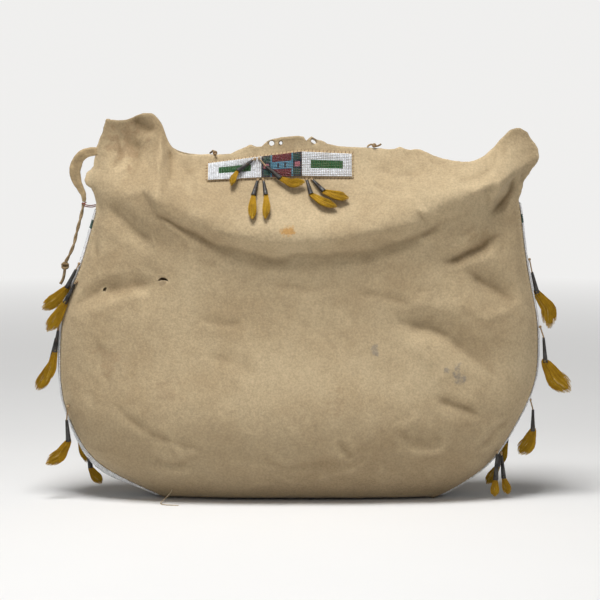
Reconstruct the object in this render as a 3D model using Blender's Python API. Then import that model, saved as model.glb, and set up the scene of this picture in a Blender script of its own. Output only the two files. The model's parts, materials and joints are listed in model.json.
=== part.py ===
"""A hide tipi bag: one folded hide with beaded gussets, a beaded strip and swinging tin cones.

Metres, +Z up. The plain front faces -Y, and the origin is the middle of the flat base.
"""

import math

import bmesh
import bpy
import numpy as np
from mathutils import Vector
from mathutils.bvhtree import BVHTree

MM = 0.001

# Driving dimensions of the bag.
BAG_WIDTH = 552 * MM
RIM_HEIGHT = 400 * MM
BASE_LENGTH = 306 * MM
BASE_WIDTH = 70 * MM
FRONT_BELLY = 79 * MM
BACK_BELLY = 76 * MM
HIDE_THICKNESS = 2.0 * MM
SEAM_GAP = 0.6 * MM
REST_GAP = 0.3 * MM
CLEARANCE = 0.6 * MM
STRIP_CLEARANCE = 1.2 * MM

# The gussets and the beadwork on them.
GUSSET_WIDTH = 40 * MM
LEFT_GUSSET_BULGE = 2.5 * MM
RIGHT_GUSSET_BULGE = 1.2 * MM
LOWER_LEFT_SAG = 8.5 * MM
GUSSET_BEAD_HEIGHT = 1.7 * MM
LANE_GROOVE = 0.9 * MM
LANE_SEAT = 0.5 * MM
LANES = 3
GUSSET_BASE_FADE = 0.07
GUSSET_TOP_FADE = 0.05
GUSSET_TOP_BULGE = 0.4
SAG_PLACE = 0.15
SAG_SPREAD = 0.08
SEAM_BASE_FADE = 0.05
BEADWORK_SIDE_INSET = 0.2
BEADWORK_TOP_INSET = 0.3

# The beaded strip below the front rim.
STRIP_LENGTH = 166 * MM
STRIP_HEIGHT = 28 * MM
STRIP_MARGIN = 1.6 * MM
STRIP_BACKING = 1.0 * MM
STRIP_BEAD_HEIGHT = 1.5 * MM
CENTRE_BLOCK = 46 * MM
CENTRE_SHIFT = 2 * MM
GREEN_BAR = 37 * MM
STRIP_CELL = 12 * MM

# The hanging tin cones, their thongs and feathers.
CONE_TOP_RADIUS = 1.6 * MM
CONE_MOUTH_RADIUS = 3.0 * MM
TIN_WALL = 0.4 * MM
HOOK_RADIUS = 1.6 * MM
THONG_RADIUS = 0.9 * MM
FEATHER_WIDTH = 11.0 * MM
FEATHER_DEPTH = 4.6 * MM
FEATHER_ROOT_RADIUS = 1.9 * MM
CONE_SIDES = 8

# The side strap, its tie cord, the rim ties and the loose sinew.
STRAP_WIDTH = 13 * MM
STRAP_THICKNESS = 1.8 * MM
STRAP_END_GAP = 0.7 * MM
STRAP_RINGS = 15
TIE_CORD_DIAMETER = 4.0 * MM
TIE_CORD_POINTS = 12
KNOT_DIAMETER = 9.5 * MM
TAIL_RADIUS = 1.8 * MM
RIM_TIE_RADIUS = 1.2 * MM
RIM_TIE_KNOT = 0.9
RIM_TIE_RINGS = 9
RIM_SEARCH = 8 * MM
SINEW_DIAMETER = 1.0 * MM
SINEW_POINTS = 17

# Mesh rows and columns.
COLUMNS = 26
SEAM_ROWS = 20
COLLAR_ROWS = 6
BASE_ROWS = 2
GUSSET_COLUMNS = 2 * LANES
GUSSET_TOP = 0.78
ROW_SPREAD = 1.25

# Outlines, as shares of half the bag's width and of the rim height.
LEFT_SEAM = (
    (-0.650, 0.032), (-0.786, 0.082), (-0.845, 0.110), (-0.889, 0.142), (-0.946, 0.214),
    (-0.987, 0.302), (-0.992, 0.434), (-0.980, 0.526), (-0.948, 0.598), (-0.903, 0.671),
    (-0.849, 0.797), (-0.836, 0.840),
)
LEFT_EAR_EDGE = (
    (-0.836, 0.840), (-0.862, 0.900), (-0.848, 0.952), (-0.843, 1.009), (-0.808, 1.054),
    (-0.800, 1.089),
)
RIGHT_SEAM = (
    (0.667, 0.040), (0.795, 0.107), (0.877, 0.193), (0.957, 0.302), (0.983, 0.380),
    (0.981, 0.523), (0.965, 0.573), (0.932, 0.691), (0.909, 0.820), (0.901, 0.857),
)
RIGHT_EAR_EDGE = (
    (0.901, 0.857), (0.914, 0.900), (0.932, 0.928), (0.969, 0.951), (1.000, 0.979),
    (0.970, 1.019), (0.918, 1.061),
)
FRONT_RIM = (
    (-0.800, 1.089), (-0.710, 1.083), (-0.650, 1.109), (-0.606, 1.110), (-0.573, 1.091),
    (-0.553, 1.045), (-0.530, 0.996), (-0.470, 0.982), (-0.377, 0.983), (-0.290, 0.990),
    (-0.204, 0.999), (-0.150, 1.025), (-0.054, 1.039), (0.019, 1.042), (0.055, 1.020),
    (0.140, 1.008), (0.350, 1.000), (0.488, 1.008), (0.538, 0.984), (0.683, 0.964),
    (0.742, 0.973), (0.808, 1.013), (0.868, 1.058), (0.918, 1.061),
)
BACK_RIM = (
    (-0.800, 1.089), (-0.700, 1.062), (-0.600, 1.045), (-0.530, 1.000), (-0.446, 0.986),
    (-0.300, 0.986), (-0.210, 0.996), (0.000, 0.994), (0.360, 0.988), (0.540, 0.974),
    (0.690, 0.954), (0.770, 0.972), (0.860, 1.022), (0.918, 1.061),
)

# Depth of each wall at the middle of the bag: share of the rim height, share of its belly.
FRONT_FORM = (
    (0.05, 0.67), (0.10, 0.85), (0.16, 0.96), (0.23, 1.00), (0.30, 0.97), (0.38, 0.87),
    (0.45, 0.79), (0.52, 0.75), (0.60, 0.73), (0.655, 0.73), (0.70, 0.80), (0.745, 0.85),
    (0.79, 0.78), (0.85, 0.57), (0.92, 0.33), (1.00, 0.15), (1.12, 0.13),
)
BACK_FORM = (
    (0.05, 0.62), (0.10, 0.77), (0.20, 0.93), (0.35, 1.00), (0.55, 0.90), (0.75, 0.66),
    (0.90, 0.40), (1.00, 0.24), (1.12, 0.16),
)
BELLY_SQUARENESS = 2.4
SIDE_ROUNDNESS = 0.62

# The roll under the rim rises towards the seams: by how much, and between which shares of the rim
# height that takes effect and fades out again.
ROLL_RISE = 0.26
ROLL_FADES = (0.35, 0.60, 0.88, 1.02)

# The collar above the gussets: where its sides start to narrow and how far that takes, as shares
# of the rim height, and how much narrower they end.
COLLAR_START = 0.84
COLLAR_SPAN = 0.12
COLLAR_NARROWING = 0.45

# A fold fades over this share of its length at each end, down to this share of its height. It also
# fades towards the seams and near the base.
FOLD_TAPER = 0.2
FOLD_END_HEIGHT = 0.25
FOLD_SEAM_POWER = 12
FOLD_BASE_REACH = 20 * MM

# Folds in the front wall: path in the outline's shares, height (a valley is negative), half width.
FRONT_FOLDS = (
    (((-0.60, 0.895), (-0.42, 0.810), (-0.22, 0.775), (0.00, 0.765), (0.22, 0.780),
      (0.45, 0.815), (0.66, 0.865)), 7.0 * MM, 22 * MM),
    (((-0.63, 0.842), (-0.52, 0.799), (-0.31, 0.730), (-0.10, 0.702), (0.10, 0.702),
      (0.31, 0.730), (0.54, 0.782), (0.75, 0.848)), -9.0 * MM, 13 * MM),
    (((-0.81, 0.852), (-0.75, 0.828), (-0.69, 0.782), (-0.62, 0.755), (-0.52, 0.735)),
     -5.0 * MM, 11 * MM),
    (((-0.57, 0.630), (-0.67, 0.620), (-0.81, 0.604), (-0.94, 0.560)), -8.5 * MM, 11 * MM),
    (((0.91, 0.949), (0.87, 0.891), (0.83, 0.854), (0.78, 0.816)), -11.0 * MM, 10 * MM),
    (((0.85, 0.799), (0.81, 0.762), (0.75, 0.730), (0.67, 0.701), (0.58, 0.684),
      (0.52, 0.696)), -10.0 * MM, 11 * MM),
    (((0.66, 0.655), (0.73, 0.638), (0.81, 0.610), (0.89, 0.575)), -8.0 * MM, 11 * MM),
    (((0.38, 0.532), (0.54, 0.512), (0.63, 0.489), (0.73, 0.437), (0.85, 0.350)),
     -8.0 * MM, 14 * MM),
    (((0.54, 0.316), (0.67, 0.276), (0.77, 0.230)), -5.0 * MM, 12 * MM),
    (((-0.58, 0.840), (-0.58, 0.930), (-0.585, 1.060)), 10.0 * MM, 13 * MM),
    (((-0.70, 0.960), (-0.69, 1.070)), -7.0 * MM, 15 * MM),
    (((0.50, 0.840), (0.68, 0.905), (0.85, 0.980), (0.93, 1.010)), 8.0 * MM, 16 * MM),
    (((-0.45, 0.120), (-0.40, 0.080)), -4.0 * MM, 14 * MM),
    (((0.34, 0.150), (0.46, 0.140)), -4.0 * MM, 12 * MM),
)

# Beaded strip: its left end as a share of the half width, then its lower and upper edges: share of
# its length, and both heights as shares of the rim height.
STRIP_LEFT = -0.383
STRIP_EDGES = (
    (0.00, 0.913, 0.964), (0.37, 0.919, 0.985), (0.65, 0.922, 1.000), (1.00, 0.921, 0.993),
)

# Each dangle: name, place, thong, cone and feather lengths, then the angles of thong, cone,
# feather root and feather tip from straight down, positive towards +X.
# The place of a strip dangle is its share of the strip's length and of its height.
STRIP_DANGLES = (
    ("strip_1", (0.328, 0.857), (3.5 * MM, 22 * MM, 20 * MM), (-50, -50, -28, -14)),
    ("strip_2", (0.358, 0.857), (13 * MM, 22 * MM, 29 * MM), (38, 48, 62, 98)),
    ("strip_3", (0.349, -0.064), (2.6 * MM, 21 * MM, 33 * MM), (-14, -12, -4, 0)),
    ("strip_4", (0.386, -0.064), (2.6 * MM, 20 * MM, 33 * MM), (10, 8, 2, -4)),
    ("strip_5", (0.681, -0.064), (2.6 * MM, 20 * MM, 34 * MM), (12, 14, 48, 66)),
    ("strip_6", (0.717, -0.064), (2.6 * MM, 20 * MM, 30 * MM), (34, 38, 62, 74)),
)
# The place of a seam dangle is its side, its share of the rim height and its depth from the
# middle of the gusset.
SEAM_DANGLES = (
    ("left_1", (-1, 0.626, -23 * MM), (3 * MM, 25 * MM, 37 * MM), (-20, -22, -26, -36)),
    ("left_2", (-1, 0.676, -18 * MM), (7 * MM, 24 * MM, 37 * MM), (-18, -20, -44, -54)),
    ("left_3", (-1, 0.510, -18 * MM), (10 * MM, 25 * MM, 36 * MM), (-8, -8, -14, -22)),
    ("left_4", (-1, 0.490, -7 * MM), (12 * MM, 31 * MM, 34 * MM), (-12, -12, -24, -34)),
    ("left_5", (-1, 0.272, -27 * MM), (16 * MM, 25 * MM, 37 * MM), (-6, 4, -32, -56)),
    ("right_1", (1, 0.688, -14 * MM), (15 * MM, 25 * MM, 44 * MM), (10, 12, 36, 4)),
    ("right_2", (1, 0.496, -17 * MM), (13 * MM, 29 * MM, 44 * MM), (18, 5, 32, 50)),
    ("right_3", (1, 0.284, -7 * MM), (12 * MM, 25 * MM, 31 * MM), (15, 0, -20, -40)),
    ("right_4", (1, 0.142, -27 * MM), (3 * MM, 30 * MM, 19 * MM), (-2, -3, -4, 0)),
    ("right_5", (1, 0.135, -17 * MM), (3 * MM, 27 * MM, 19 * MM), (6, 6, 16, 18)),
    ("back_1", (-1, 0.232, 27 * MM), (4 * MM, 24 * MM, 34 * MM), (0, 4, 16, 26)),
    ("back_2", (-1, 0.132, 17 * MM), (3 * MM, 20 * MM, 22 * MM), (4, 8, 30, 40)),
    ("back_3", (1, 0.215, 27 * MM), (4 * MM, 24 * MM, 30 * MM), (0, -6, -14, -24)),
    ("back_4", (1, 0.142, 17 * MM), (3 * MM, 22 * MM, 24 * MM), (0, -8, -30, -34)),
)

# Routes, in millimetres. The strap, the rim ties and the sinew start from their own seats on the
# bag; the tie cord and its knot are placed from the origin.
STRAP_ROUTE = (
    (-0.8, 0.5, -1.5), (-9.5, 2, -2.5), (-17, 4, -8), (-22.5, 6, -17), (-23.5, 7.5, -27),
    (-21.5, 8.5, -37), (-17, 9, -46), (-13.3, 9, -53.5),
)
STRAP_TOP = 1.000
# Width along the strap: share of its length and share of its full width.
STRAP_WIDTHS = ((0.0, 0.70), (0.35, 1.0), (0.60, 0.95), (0.80, 0.55), (1.0, 0.30))
TIE_CORD_ROUTE = (
    (-247.6, -2, 339.5), (-249.8, -2, 328), (-253.5, -2, 314), (-256.5, -2, 303), (-259.5, -2, 291),
    (-264, -2, 280.5), (-268.6, -2, 272.1),
)
TIE_TAIL_ROUTE = ((-269.5, -2, 267.4), (-270.5, -2, 258), (-275, -2, 246))
LEFT_TIE_X = -103.5 * MM
LEFT_TIE_ROUTE = (
    (0, 2, 1.8), (1.5, -1, 2.8), (3, -9, 4.6), (5, -21, 4.8), (6.5, -31, 3.4), (8, -38, 1.2),
)
RIGHT_TIE_X = 83 * MM
RIGHT_TIE_ROUTE = (
    (-6.5, 0, 2.2), (-3.5, 0, 4.6), (0, 0, 4.4), (3, 0, 2.8), (6, 0, 3.2), (9.5, 0, 5.2),
)
SINEW_SEAT = (-146 * MM, 14 * MM)
SINEW_ROUTE = (
    (0, 0, 0), (-2.5, -4, -4), (-6.5, -8, -8), (-11, -13, -11.5), (-12, -20, -13.1),
    (-7, -27, -13.1), (1, -30, -13.1), (9, -31, -13.1),
)

# Colours (linear RGB), roughness and metallic value.
MATERIALS = {
    "hide": ((0.52, 0.42, 0.27), 0.85, 0.0),
    "strap": ((0.33, 0.22, 0.12), 0.85, 0.0),
    "sinew": ((0.60, 0.50, 0.34), 0.6, 0.0),
    "white_beads": ((0.74, 0.76, 0.78), 0.3, 0.0),
    "green_beads": ((0.03, 0.16, 0.03), 0.3, 0.0),
    "navy_beads": ((0.02, 0.03, 0.06), 0.3, 0.0),
    "blue_beads": ((0.10, 0.25, 0.34), 0.3, 0.0),
    "tin": ((0.12, 0.12, 0.13), 0.45, 0.9),
    "feather": ((0.42, 0.20, 0.01), 0.8, 0.0),
}


def clear_scene():
    for item in list(bpy.data.objects):
        bpy.data.objects.remove(item, do_unlink=True)


def material(name):
    """The named finish, made once and shared by every piece that has it."""
    found = bpy.data.materials.get(name)
    if found:
        return found
    colour, roughness, metallic = MATERIALS[name]
    made = bpy.data.materials.new(name)
    made.use_nodes = True
    shader = made.node_tree.nodes["Principled BSDF"]
    shader.inputs["Base Color"].default_value = (*colour, 1.0)
    shader.inputs["Roughness"].default_value = roughness
    shader.inputs["Metallic"].default_value = metallic
    return made


def add_object(name, bm, finish, origin=Vector(), smooth=True):
    """Make an object whose origin is on its own joint or seat, from a bmesh in world places."""
    bmesh.ops.translate(bm, verts=bm.verts, vec=-origin)
    mesh = bpy.data.meshes.new(name)
    bm.to_mesh(mesh)
    bm.free()
    if smooth:
        mesh.shade_smooth()
        mesh.set_sharp_from_angle(angle=math.radians(50))
    mesh.materials.append(material(finish))
    item = bpy.data.objects.new(name, mesh)
    item.location = origin
    bpy.context.collection.objects.link(item)
    return item


def smooth_line(points, per_span=10):
    """A dense line through the given points, as a Catmull-Rom curve."""
    p = np.array(points, dtype=float)
    p = np.vstack((2 * p[0] - p[1], p, 2 * p[-1] - p[-2]))
    line = []
    for i in range(1, len(p) - 2):
        a, b, c, d = p[i - 1], p[i], p[i + 1], p[i + 2]
        for t in np.linspace(0, 1, per_span, endpoint=False):
            line.append(0.5 * (2 * b + (c - a) * t + (2 * a - 5 * b + 4 * c - d) * t**2
                               + (3 * b - a - 3 * c + d) * t**3))
    line.append(p[-2])
    return np.array(line)


def along(line, share):
    """The point at a share of the line's own length."""
    steps = np.linalg.norm(np.diff(line, axis=0), axis=1)
    reach = np.concatenate(([0.0], np.cumsum(steps)))
    place = share * reach[-1]
    return np.array([np.interp(place, reach, line[:, k]) for k in range(line.shape[1])])


def in_metres(shares):
    """Outline shares as places in the XZ plane."""
    return [(x * BAG_WIDTH / 2, z * RIM_HEIGHT) for x, z in shares]


def seam_line(side, shares):
    """The seam from the end of the base up to the top of the gusset."""
    return smooth_line([(side * BASE_LENGTH / 2, 0.0)] + in_metres(shares))


LEFT_LINES = (seam_line(-1, LEFT_SEAM), smooth_line(in_metres(LEFT_EAR_EDGE)))
RIGHT_LINES = (seam_line(1, RIGHT_SEAM), smooth_line(in_metres(RIGHT_EAR_EDGE)))
FRONT_RIM_LINE = smooth_line(in_metres(FRONT_RIM))
BACK_RIM_LINE = smooth_line(in_metres(BACK_RIM))
FOLD_LINES = [(smooth_line(in_metres(path)), height, width) for path, height, width in FRONT_FOLDS]


def side_point(lines, v):
    """A place on a side edge: the gusset ends at GUSSET_TOP, and the free ear goes on to 1."""
    if v <= GUSSET_TOP:
        return along(lines[0], v / GUSSET_TOP)
    return along(lines[1], (v - GUSSET_TOP) / (1 - GUSSET_TOP))


def wall_place(u, v, rim_line):
    """XZ place on a wall, blended from its four edges."""
    low = np.array([(2 * u - 1) * BASE_LENGTH / 2, 0.0])
    high = along(rim_line, u)
    left = side_point(LEFT_LINES, v)
    right = side_point(RIGHT_LINES, v)
    corners = ((1 - u) * (1 - v) * np.array([-BASE_LENGTH / 2, 0.0])
               + u * (1 - v) * np.array([BASE_LENGTH / 2, 0.0])
               + (1 - u) * v * rim_line[0] + u * v * rim_line[-1])
    return (1 - v) * low + v * high + (1 - u) * left + u * right - corners


def ease(value):
    """A smooth step from 0 to 1."""
    t = min(max(value, 0.0), 1.0)
    return t * t * (3 - 2 * t)


def fold_height(x, z):
    """What the folds add to the front wall's depth at a place."""
    total = 0.0
    spot = np.array([x, z])
    for line, height, width in FOLD_LINES:
        gaps = np.linalg.norm(line - spot, axis=1)
        nearest = int(np.argmin(gaps))
        share = nearest / (len(line) - 1)
        taper = ease(share / FOLD_TAPER) * ease((1 - share) / FOLD_TAPER)
        taper = FOLD_END_HEIGHT + (1 - FOLD_END_HEIGHT) * taper
        total += height * taper * math.exp(-((gaps[nearest] / width) ** 2))
    return total


def roll_lift(x, z):
    """How much lower the front's form is read at a place, because the roll rises there."""
    low, full, high, top = ROLL_FADES
    share = z / RIM_HEIGHT
    hold = ease((share - low) / (full - low)) * (1 - ease((share - high) / (top - high)))
    return ROLL_RISE * (2 * x / BAG_WIDTH) ** 2 * hold


def wall_depth(u, z, form, belly, lift=0.0):
    """Depth of a wall in front of or behind the bag's middle plane."""
    shares = [0.0] + [h for h, _ in form]
    depths = [BASE_WIDTH / 2] + [d * belly for _, d in form]
    middle = float(np.interp(z / RIM_HEIGHT - lift, shares, depths))
    collar = ease((z / RIM_HEIGHT - COLLAR_START) / COLLAR_SPAN)
    edge = GUSSET_WIDTH / 2 * (1 - COLLAR_NARROWING * collar)
    roundness = (1 - abs(2 * u - 1) ** BELLY_SQUARENESS) ** SIDE_ROUNDNESS
    return edge + (middle - edge) * roundness


def front_point(u, v):
    x, z = wall_place(u, v, FRONT_RIM_LINE)
    depth = wall_depth(u, z, FRONT_FORM, FRONT_BELLY, roll_lift(x, z))
    hold = (1 - abs(2 * u - 1) ** FOLD_SEAM_POWER) * ease(z / FOLD_BASE_REACH)
    return Vector((x, -(depth + hold * fold_height(x, z)), z))


def back_point(u, v):
    x, z = wall_place(u, v, BACK_RIM_LINE)
    return Vector((x, wall_depth(u, z, BACK_FORM, BACK_BELLY), z))


def column_shares():
    """Columns across the bag, closer together near the sides."""
    even = np.linspace(0, 1, COLUMNS + 1)
    return 0.5 * even + 0.5 * (0.5 - 0.5 * np.cos(math.pi * even))


def row_shares():
    """Rows from the base up to the gusset's top, closer at the roll, then up the collar."""
    even = np.linspace(0, 1, SEAM_ROWS + 1)
    seam = GUSSET_TOP * (ROW_SPREAD * even - (ROW_SPREAD - 1) * even**3)
    collar = np.linspace(GUSSET_TOP, 1, COLLAR_ROWS + 1)
    return np.concatenate((seam, collar[1:]))


def hide_grid():
    """Rows of places from the front rim, under the base and up to the back rim."""
    columns = column_shares()
    rows = row_shares()
    grid = [[front_point(u, v) for u in columns] for v in rows[::-1]]
    low_front = grid[-1]
    low_back = [back_point(u, 0) for u in columns]
    for i in range(1, BASE_ROWS):
        grid.append([a.lerp(b, i / BASE_ROWS) for a, b in zip(low_front, low_back)])
    grid += [[back_point(u, v) for u in columns] for v in rows]
    return grid


def grid_mesh(grid):
    """An open sheet of quads on a grid of places."""
    bm = bmesh.new()
    verts = [[bm.verts.new(p) for p in row] for row in grid]
    for low, high in zip(verts, verts[1:]):
        for i in range(len(low) - 1):
            bm.faces.new((low[i], high[i], high[i + 1], low[i + 1]))
    return bm, verts


def slab_mesh(inner, outer, hole=None):
    """A closed slab between two grids. hole is the set of (row, column) cells left out.

    Every cell is cut along the same diagonal, so slabs on one grid stay parallel.
    """
    bm = bmesh.new()
    hole = hole or set()
    rows = len(inner) - 1
    columns = len(inner[0]) - 1
    cells = {(r, c) for r in range(rows) for c in range(columns)} - hole
    under = {}
    over = {}

    def corner(store, grid, key):
        if key not in store:
            store[key] = bm.verts.new(grid[key[0]][key[1]])
        return store[key]

    for r, c in sorted(cells):
        ring = ((r, c), (r, c + 1), (r + 1, c + 1), (r + 1, c))
        for part in ((0, 1, 2), (0, 2, 3)):
            bm.faces.new([corner(over, outer, ring[k]) for k in part])
            bm.faces.new([corner(under, inner, ring[k]) for k in part[::-1]])
        beside = ((r - 1, c), (r, c + 1), (r + 1, c), (r, c - 1))
        for i, neighbour in enumerate(beside):
            if neighbour not in cells:
                a, b = ring[i], ring[(i + 1) % 4]
                bm.faces.new((under[a], under[b], over[b], over[a]))
    bmesh.ops.recalc_face_normals(bm, faces=bm.faces)
    return bm


def make_hide():
    """The one hide, folded under the base, left open at the mouth and along both sides."""
    bm, verts = grid_mesh(hide_grid())
    first_back = SEAM_ROWS + COLLAR_ROWS + BASE_ROWS
    spare = []
    for row in verts[first_back + 2:-1:2]:
        for a, b in zip(row[1:-1], row[2:-1]):
            spare += [edge for edge in a.link_edges if edge.other_vert(a) is b]
    bmesh.ops.dissolve_edges(bm, edges=spare, use_verts=True)
    item = add_object("hide_body", bm, "hide")
    thickness = item.modifiers.new("thickness", "SOLIDIFY")
    thickness.thickness = HIDE_THICKNESS
    thickness.offset = -1
    thickness.use_even_offset = True
    return item


def seam_outward(lines, v):
    """Direction away from the bag, square to the seam, in the XZ plane."""
    step = 0.01
    run = side_point(lines, min(v + step, GUSSET_TOP)) - side_point(lines, max(v - step, 0.0))
    run /= np.linalg.norm(run)
    side = -1 if lines is LEFT_LINES else 1
    return Vector((side * run[1], 0, -side * run[0]))


def gusset_bulge(side, v):
    """How far the gusset swells past its seams: it starts at the base with none."""
    near_base = 1 - math.exp(-v / GUSSET_BASE_FADE)
    corner = math.exp(-(((v - SAG_PLACE) / SAG_SPREAD) ** 2)) if side < 0 else 0.0
    near_top = ease((GUSSET_TOP - v) / GUSSET_TOP_FADE)
    near_top = GUSSET_TOP_BULGE + (1 - GUSSET_TOP_BULGE) * near_top
    bulge = LEFT_GUSSET_BULGE if side < 0 else RIGHT_GUSSET_BULGE
    return (bulge * near_top + LOWER_LEFT_SAG * corner) * near_base


def gusset_grid(side):
    """Rows up the seam, and columns from the front seam round to the back one."""
    lines = LEFT_LINES if side < 0 else RIGHT_LINES
    grid = []
    for v in row_shares()[: SEAM_ROWS + 1]:
        x, z = side_point(lines, v)
        room = SEAM_GAP * (1 + math.exp(-v / SEAM_BASE_FADE))
        half = wall_depth(0.0, z, FRONT_FORM, FRONT_BELLY) - room
        outward = seam_outward(lines, v)
        row = []
        for w in np.linspace(-1, 1, GUSSET_COLUMNS + 1):
            swell = outward * gusset_bulge(side, v) * (1 - w * w)
            row.append(Vector((x, w * half, z)) + swell)
        grid.append(row)
    start = seam_outward(lines, 0.0)
    run = Vector((start.z * side, 0, -start.x * side)) * -1
    grid[0] = [p + run * SEAM_GAP for p in grid[0]]
    return grid


def hide_edge_normal(side, v, wall):
    """Outward direction of the hide at its side edge, on the front or the back wall."""
    edge = 0.0 if side < 0 else 1.0
    inside = column_shares()[1] if side < 0 else column_shares()[-2]
    step = 0.02
    across = wall(inside, v) - wall(edge, v)
    up = wall(edge, min(v + step, GUSSET_TOP)) - wall(edge, max(v - step, 0.0))
    normal = across.cross(up).normalized()
    return normal if normal.x * side > 0 else -normal


def grid_normals(grid, side):
    """Outward direction at each place of a gusset grid. Its edges lean as the hide's do."""
    normals = []
    rows = len(grid)
    columns = len(grid[0])
    for r in range(rows):
        row = []
        for c in range(columns):
            up = grid[min(r + 1, rows - 1)][c] - grid[max(r - 1, 0)][c]
            across = grid[r][min(c + 1, columns - 1)] - grid[r][max(c - 1, 0)]
            row.append((across.cross(up) * side).normalized())
        v = row_shares()[r]
        row[0] = hide_edge_normal(side, v, front_point)
        row[-1] = hide_edge_normal(side, v, back_point)
        normals.append(row)
    normals[0] = [Vector((0, 0, -1))] * columns
    return normals


def offset_grid(grid, normals, heights):
    """A grid raised along its normals, by one height for each column."""
    return [[p + n * h for p, n, h in zip(row, ns, heights)] for row, ns in zip(grid, normals)]


def make_gusset(side, name):
    """A gusset, sewn between the front and back edges, and the lanes of beads on it."""
    grid = gusset_grid(side)
    normals = grid_normals(grid, side)
    even = [0.0] * (GUSSET_COLUMNS + 1)
    inner = offset_grid(grid, normals, [-HIDE_THICKNESS] * (GUSSET_COLUMNS + 1))
    gusset = add_object(name, slab_mesh(inner, offset_grid(grid, normals, even)), "hide")

    def inset(rows):
        narrowed = []
        for row in rows:
            first = row[0].lerp(row[1], BEADWORK_SIDE_INSET)
            last = row[-1].lerp(row[-2], BEADWORK_SIDE_INSET)
            narrowed.append([first] + row[1:-1] + [last])
        top = [a.lerp(b, BEADWORK_TOP_INSET) for a, b in zip(narrowed[-1], narrowed[-2])]
        return narrowed[1:-1] + [top]

    skin = inset(grid)
    lift = inset(normals)
    ridge = [LANE_GROOVE if c % 2 == 0 else GUSSET_BEAD_HEIGHT for c in range(GUSSET_COLUMNS + 1)]
    low = offset_grid(skin, lift, [LANE_SEAT] * (GUSSET_COLUMNS + 1))
    high = offset_grid(skin, lift, [LANE_SEAT + h for h in ridge])
    beads = add_object(name + "_beadwork", slab_mesh(low, high), "white_beads")
    return gusset, beads


def surface_tree(items):
    """One search tree for the finished surfaces of several pieces."""
    graph = bpy.context.evaluated_depsgraph_get()
    trees = []
    for item in items:
        shape = bmesh.new()
        shape.from_object(item, graph)
        shape.transform(item.matrix_world)
        trees.append(BVHTree.FromBMesh(shape))
        shape.free()
    return trees


def nearest_hit(trees, start, direction):
    """The first place where a ray meets any of the pieces."""
    hits = [tree.ray_cast(start, direction) for tree in trees]
    hits = [(distance, place) for place, _, _, distance in hits if place is not None]
    if not hits:
        return start + direction * abs(start.x if direction.x else start.y)
    return min(hits, key=lambda hit: hit[0])[1]


def front_surface(trees, x, z):
    """Place and outward direction on the front of the bag, smoothed over a few millimetres."""
    reach = 5 * MM
    far = -1.0

    def place(px, pz):
        return nearest_hit(trees, Vector((px, far, pz)), Vector((0, 1, 0)))

    across = place(x + reach, z) - place(x - reach, z)
    rise = place(x, z) - place(x, z - 2 * reach)
    return place(x, z), across.cross(rise).normalized()


def strip_place(along_strip, up_strip):
    """XZ place of a point of the strip, from distances along and up it."""
    marks, lows, highs = zip(*STRIP_EDGES)
    low = float(np.interp(along_strip / STRIP_LENGTH, marks, lows))
    high = float(np.interp(along_strip / STRIP_LENGTH, marks, highs))
    rise = up_strip / STRIP_HEIGHT
    return STRIP_LEFT * BAG_WIDTH / 2 + along_strip, (low + (high - low) * rise) * RIM_HEIGHT


def strip_grid(hide_tree):
    """Seats of the strip on the front, on one grid, so that all its pieces stay parallel."""
    marks = np.linspace(0, STRIP_LENGTH, round(STRIP_LENGTH / STRIP_CELL) + 1)
    lane = (STRIP_HEIGHT - 2 * STRIP_MARGIN) / LANES
    levels = [0.0, STRIP_MARGIN + lane, STRIP_HEIGHT - STRIP_MARGIN - lane, STRIP_HEIGHT]
    seats = []
    for up in levels:
        found = [front_surface(hide_tree, *strip_place(reach, up)) for reach in marks]
        seats.append(np.array([(*place, *lift) for place, lift in found]))
    return marks, levels, seats


def strip_seat(grid, reach, up):
    """Place and outward direction at a point of the strip, read between the grid's seats."""
    marks, levels, seats = grid
    rows = [[np.interp(reach, marks, values) for values in row.T] for row in seats]
    found = [np.interp(up, levels, values) for values in zip(*rows)]
    return Vector(found[:3]), Vector(found[3:]).normalized()


def slab_marks(ends, cuts, grid_marks):
    """Columns or rows of a slab: its own ends and cuts, and the grid's marks well between them."""
    own = sorted({*ends, *cuts})
    clear = STRIP_CELL / 6
    between = [mark for mark in grid_marks if ends[0] < mark < ends[1]
               and min(abs(mark - other) for other in own) > clear]
    return sorted(own + between)


def strip_slab(name, finish, grid, span, rise, low, high, hole=((), ())):
    """A slab on the front, over a span along the strip and a rise up it, low to high above it."""
    columns = slab_marks(span, hole[0], grid[0])
    rows = slab_marks(rise, hole[1], grid[1])
    inner = []
    outer = []
    for up in rows:
        seats = [strip_seat(grid, reach, up) for reach in columns]
        inner.append([place + lift * low for place, lift in seats])
        outer.append([place + lift * high for place, lift in seats])
    cut = set()
    if hole[0]:
        inside_columns = [i for i, mark in enumerate(columns) if hole[0][0] <= mark < hole[0][1]]
        inside_rows = [i for i, mark in enumerate(rows) if hole[1][0] <= mark < hole[1][1]]
        cut = {(r, c) for r in inside_rows for c in inside_columns}
    return add_object(name, slab_mesh(inner, outer, cut), finish)


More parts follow.
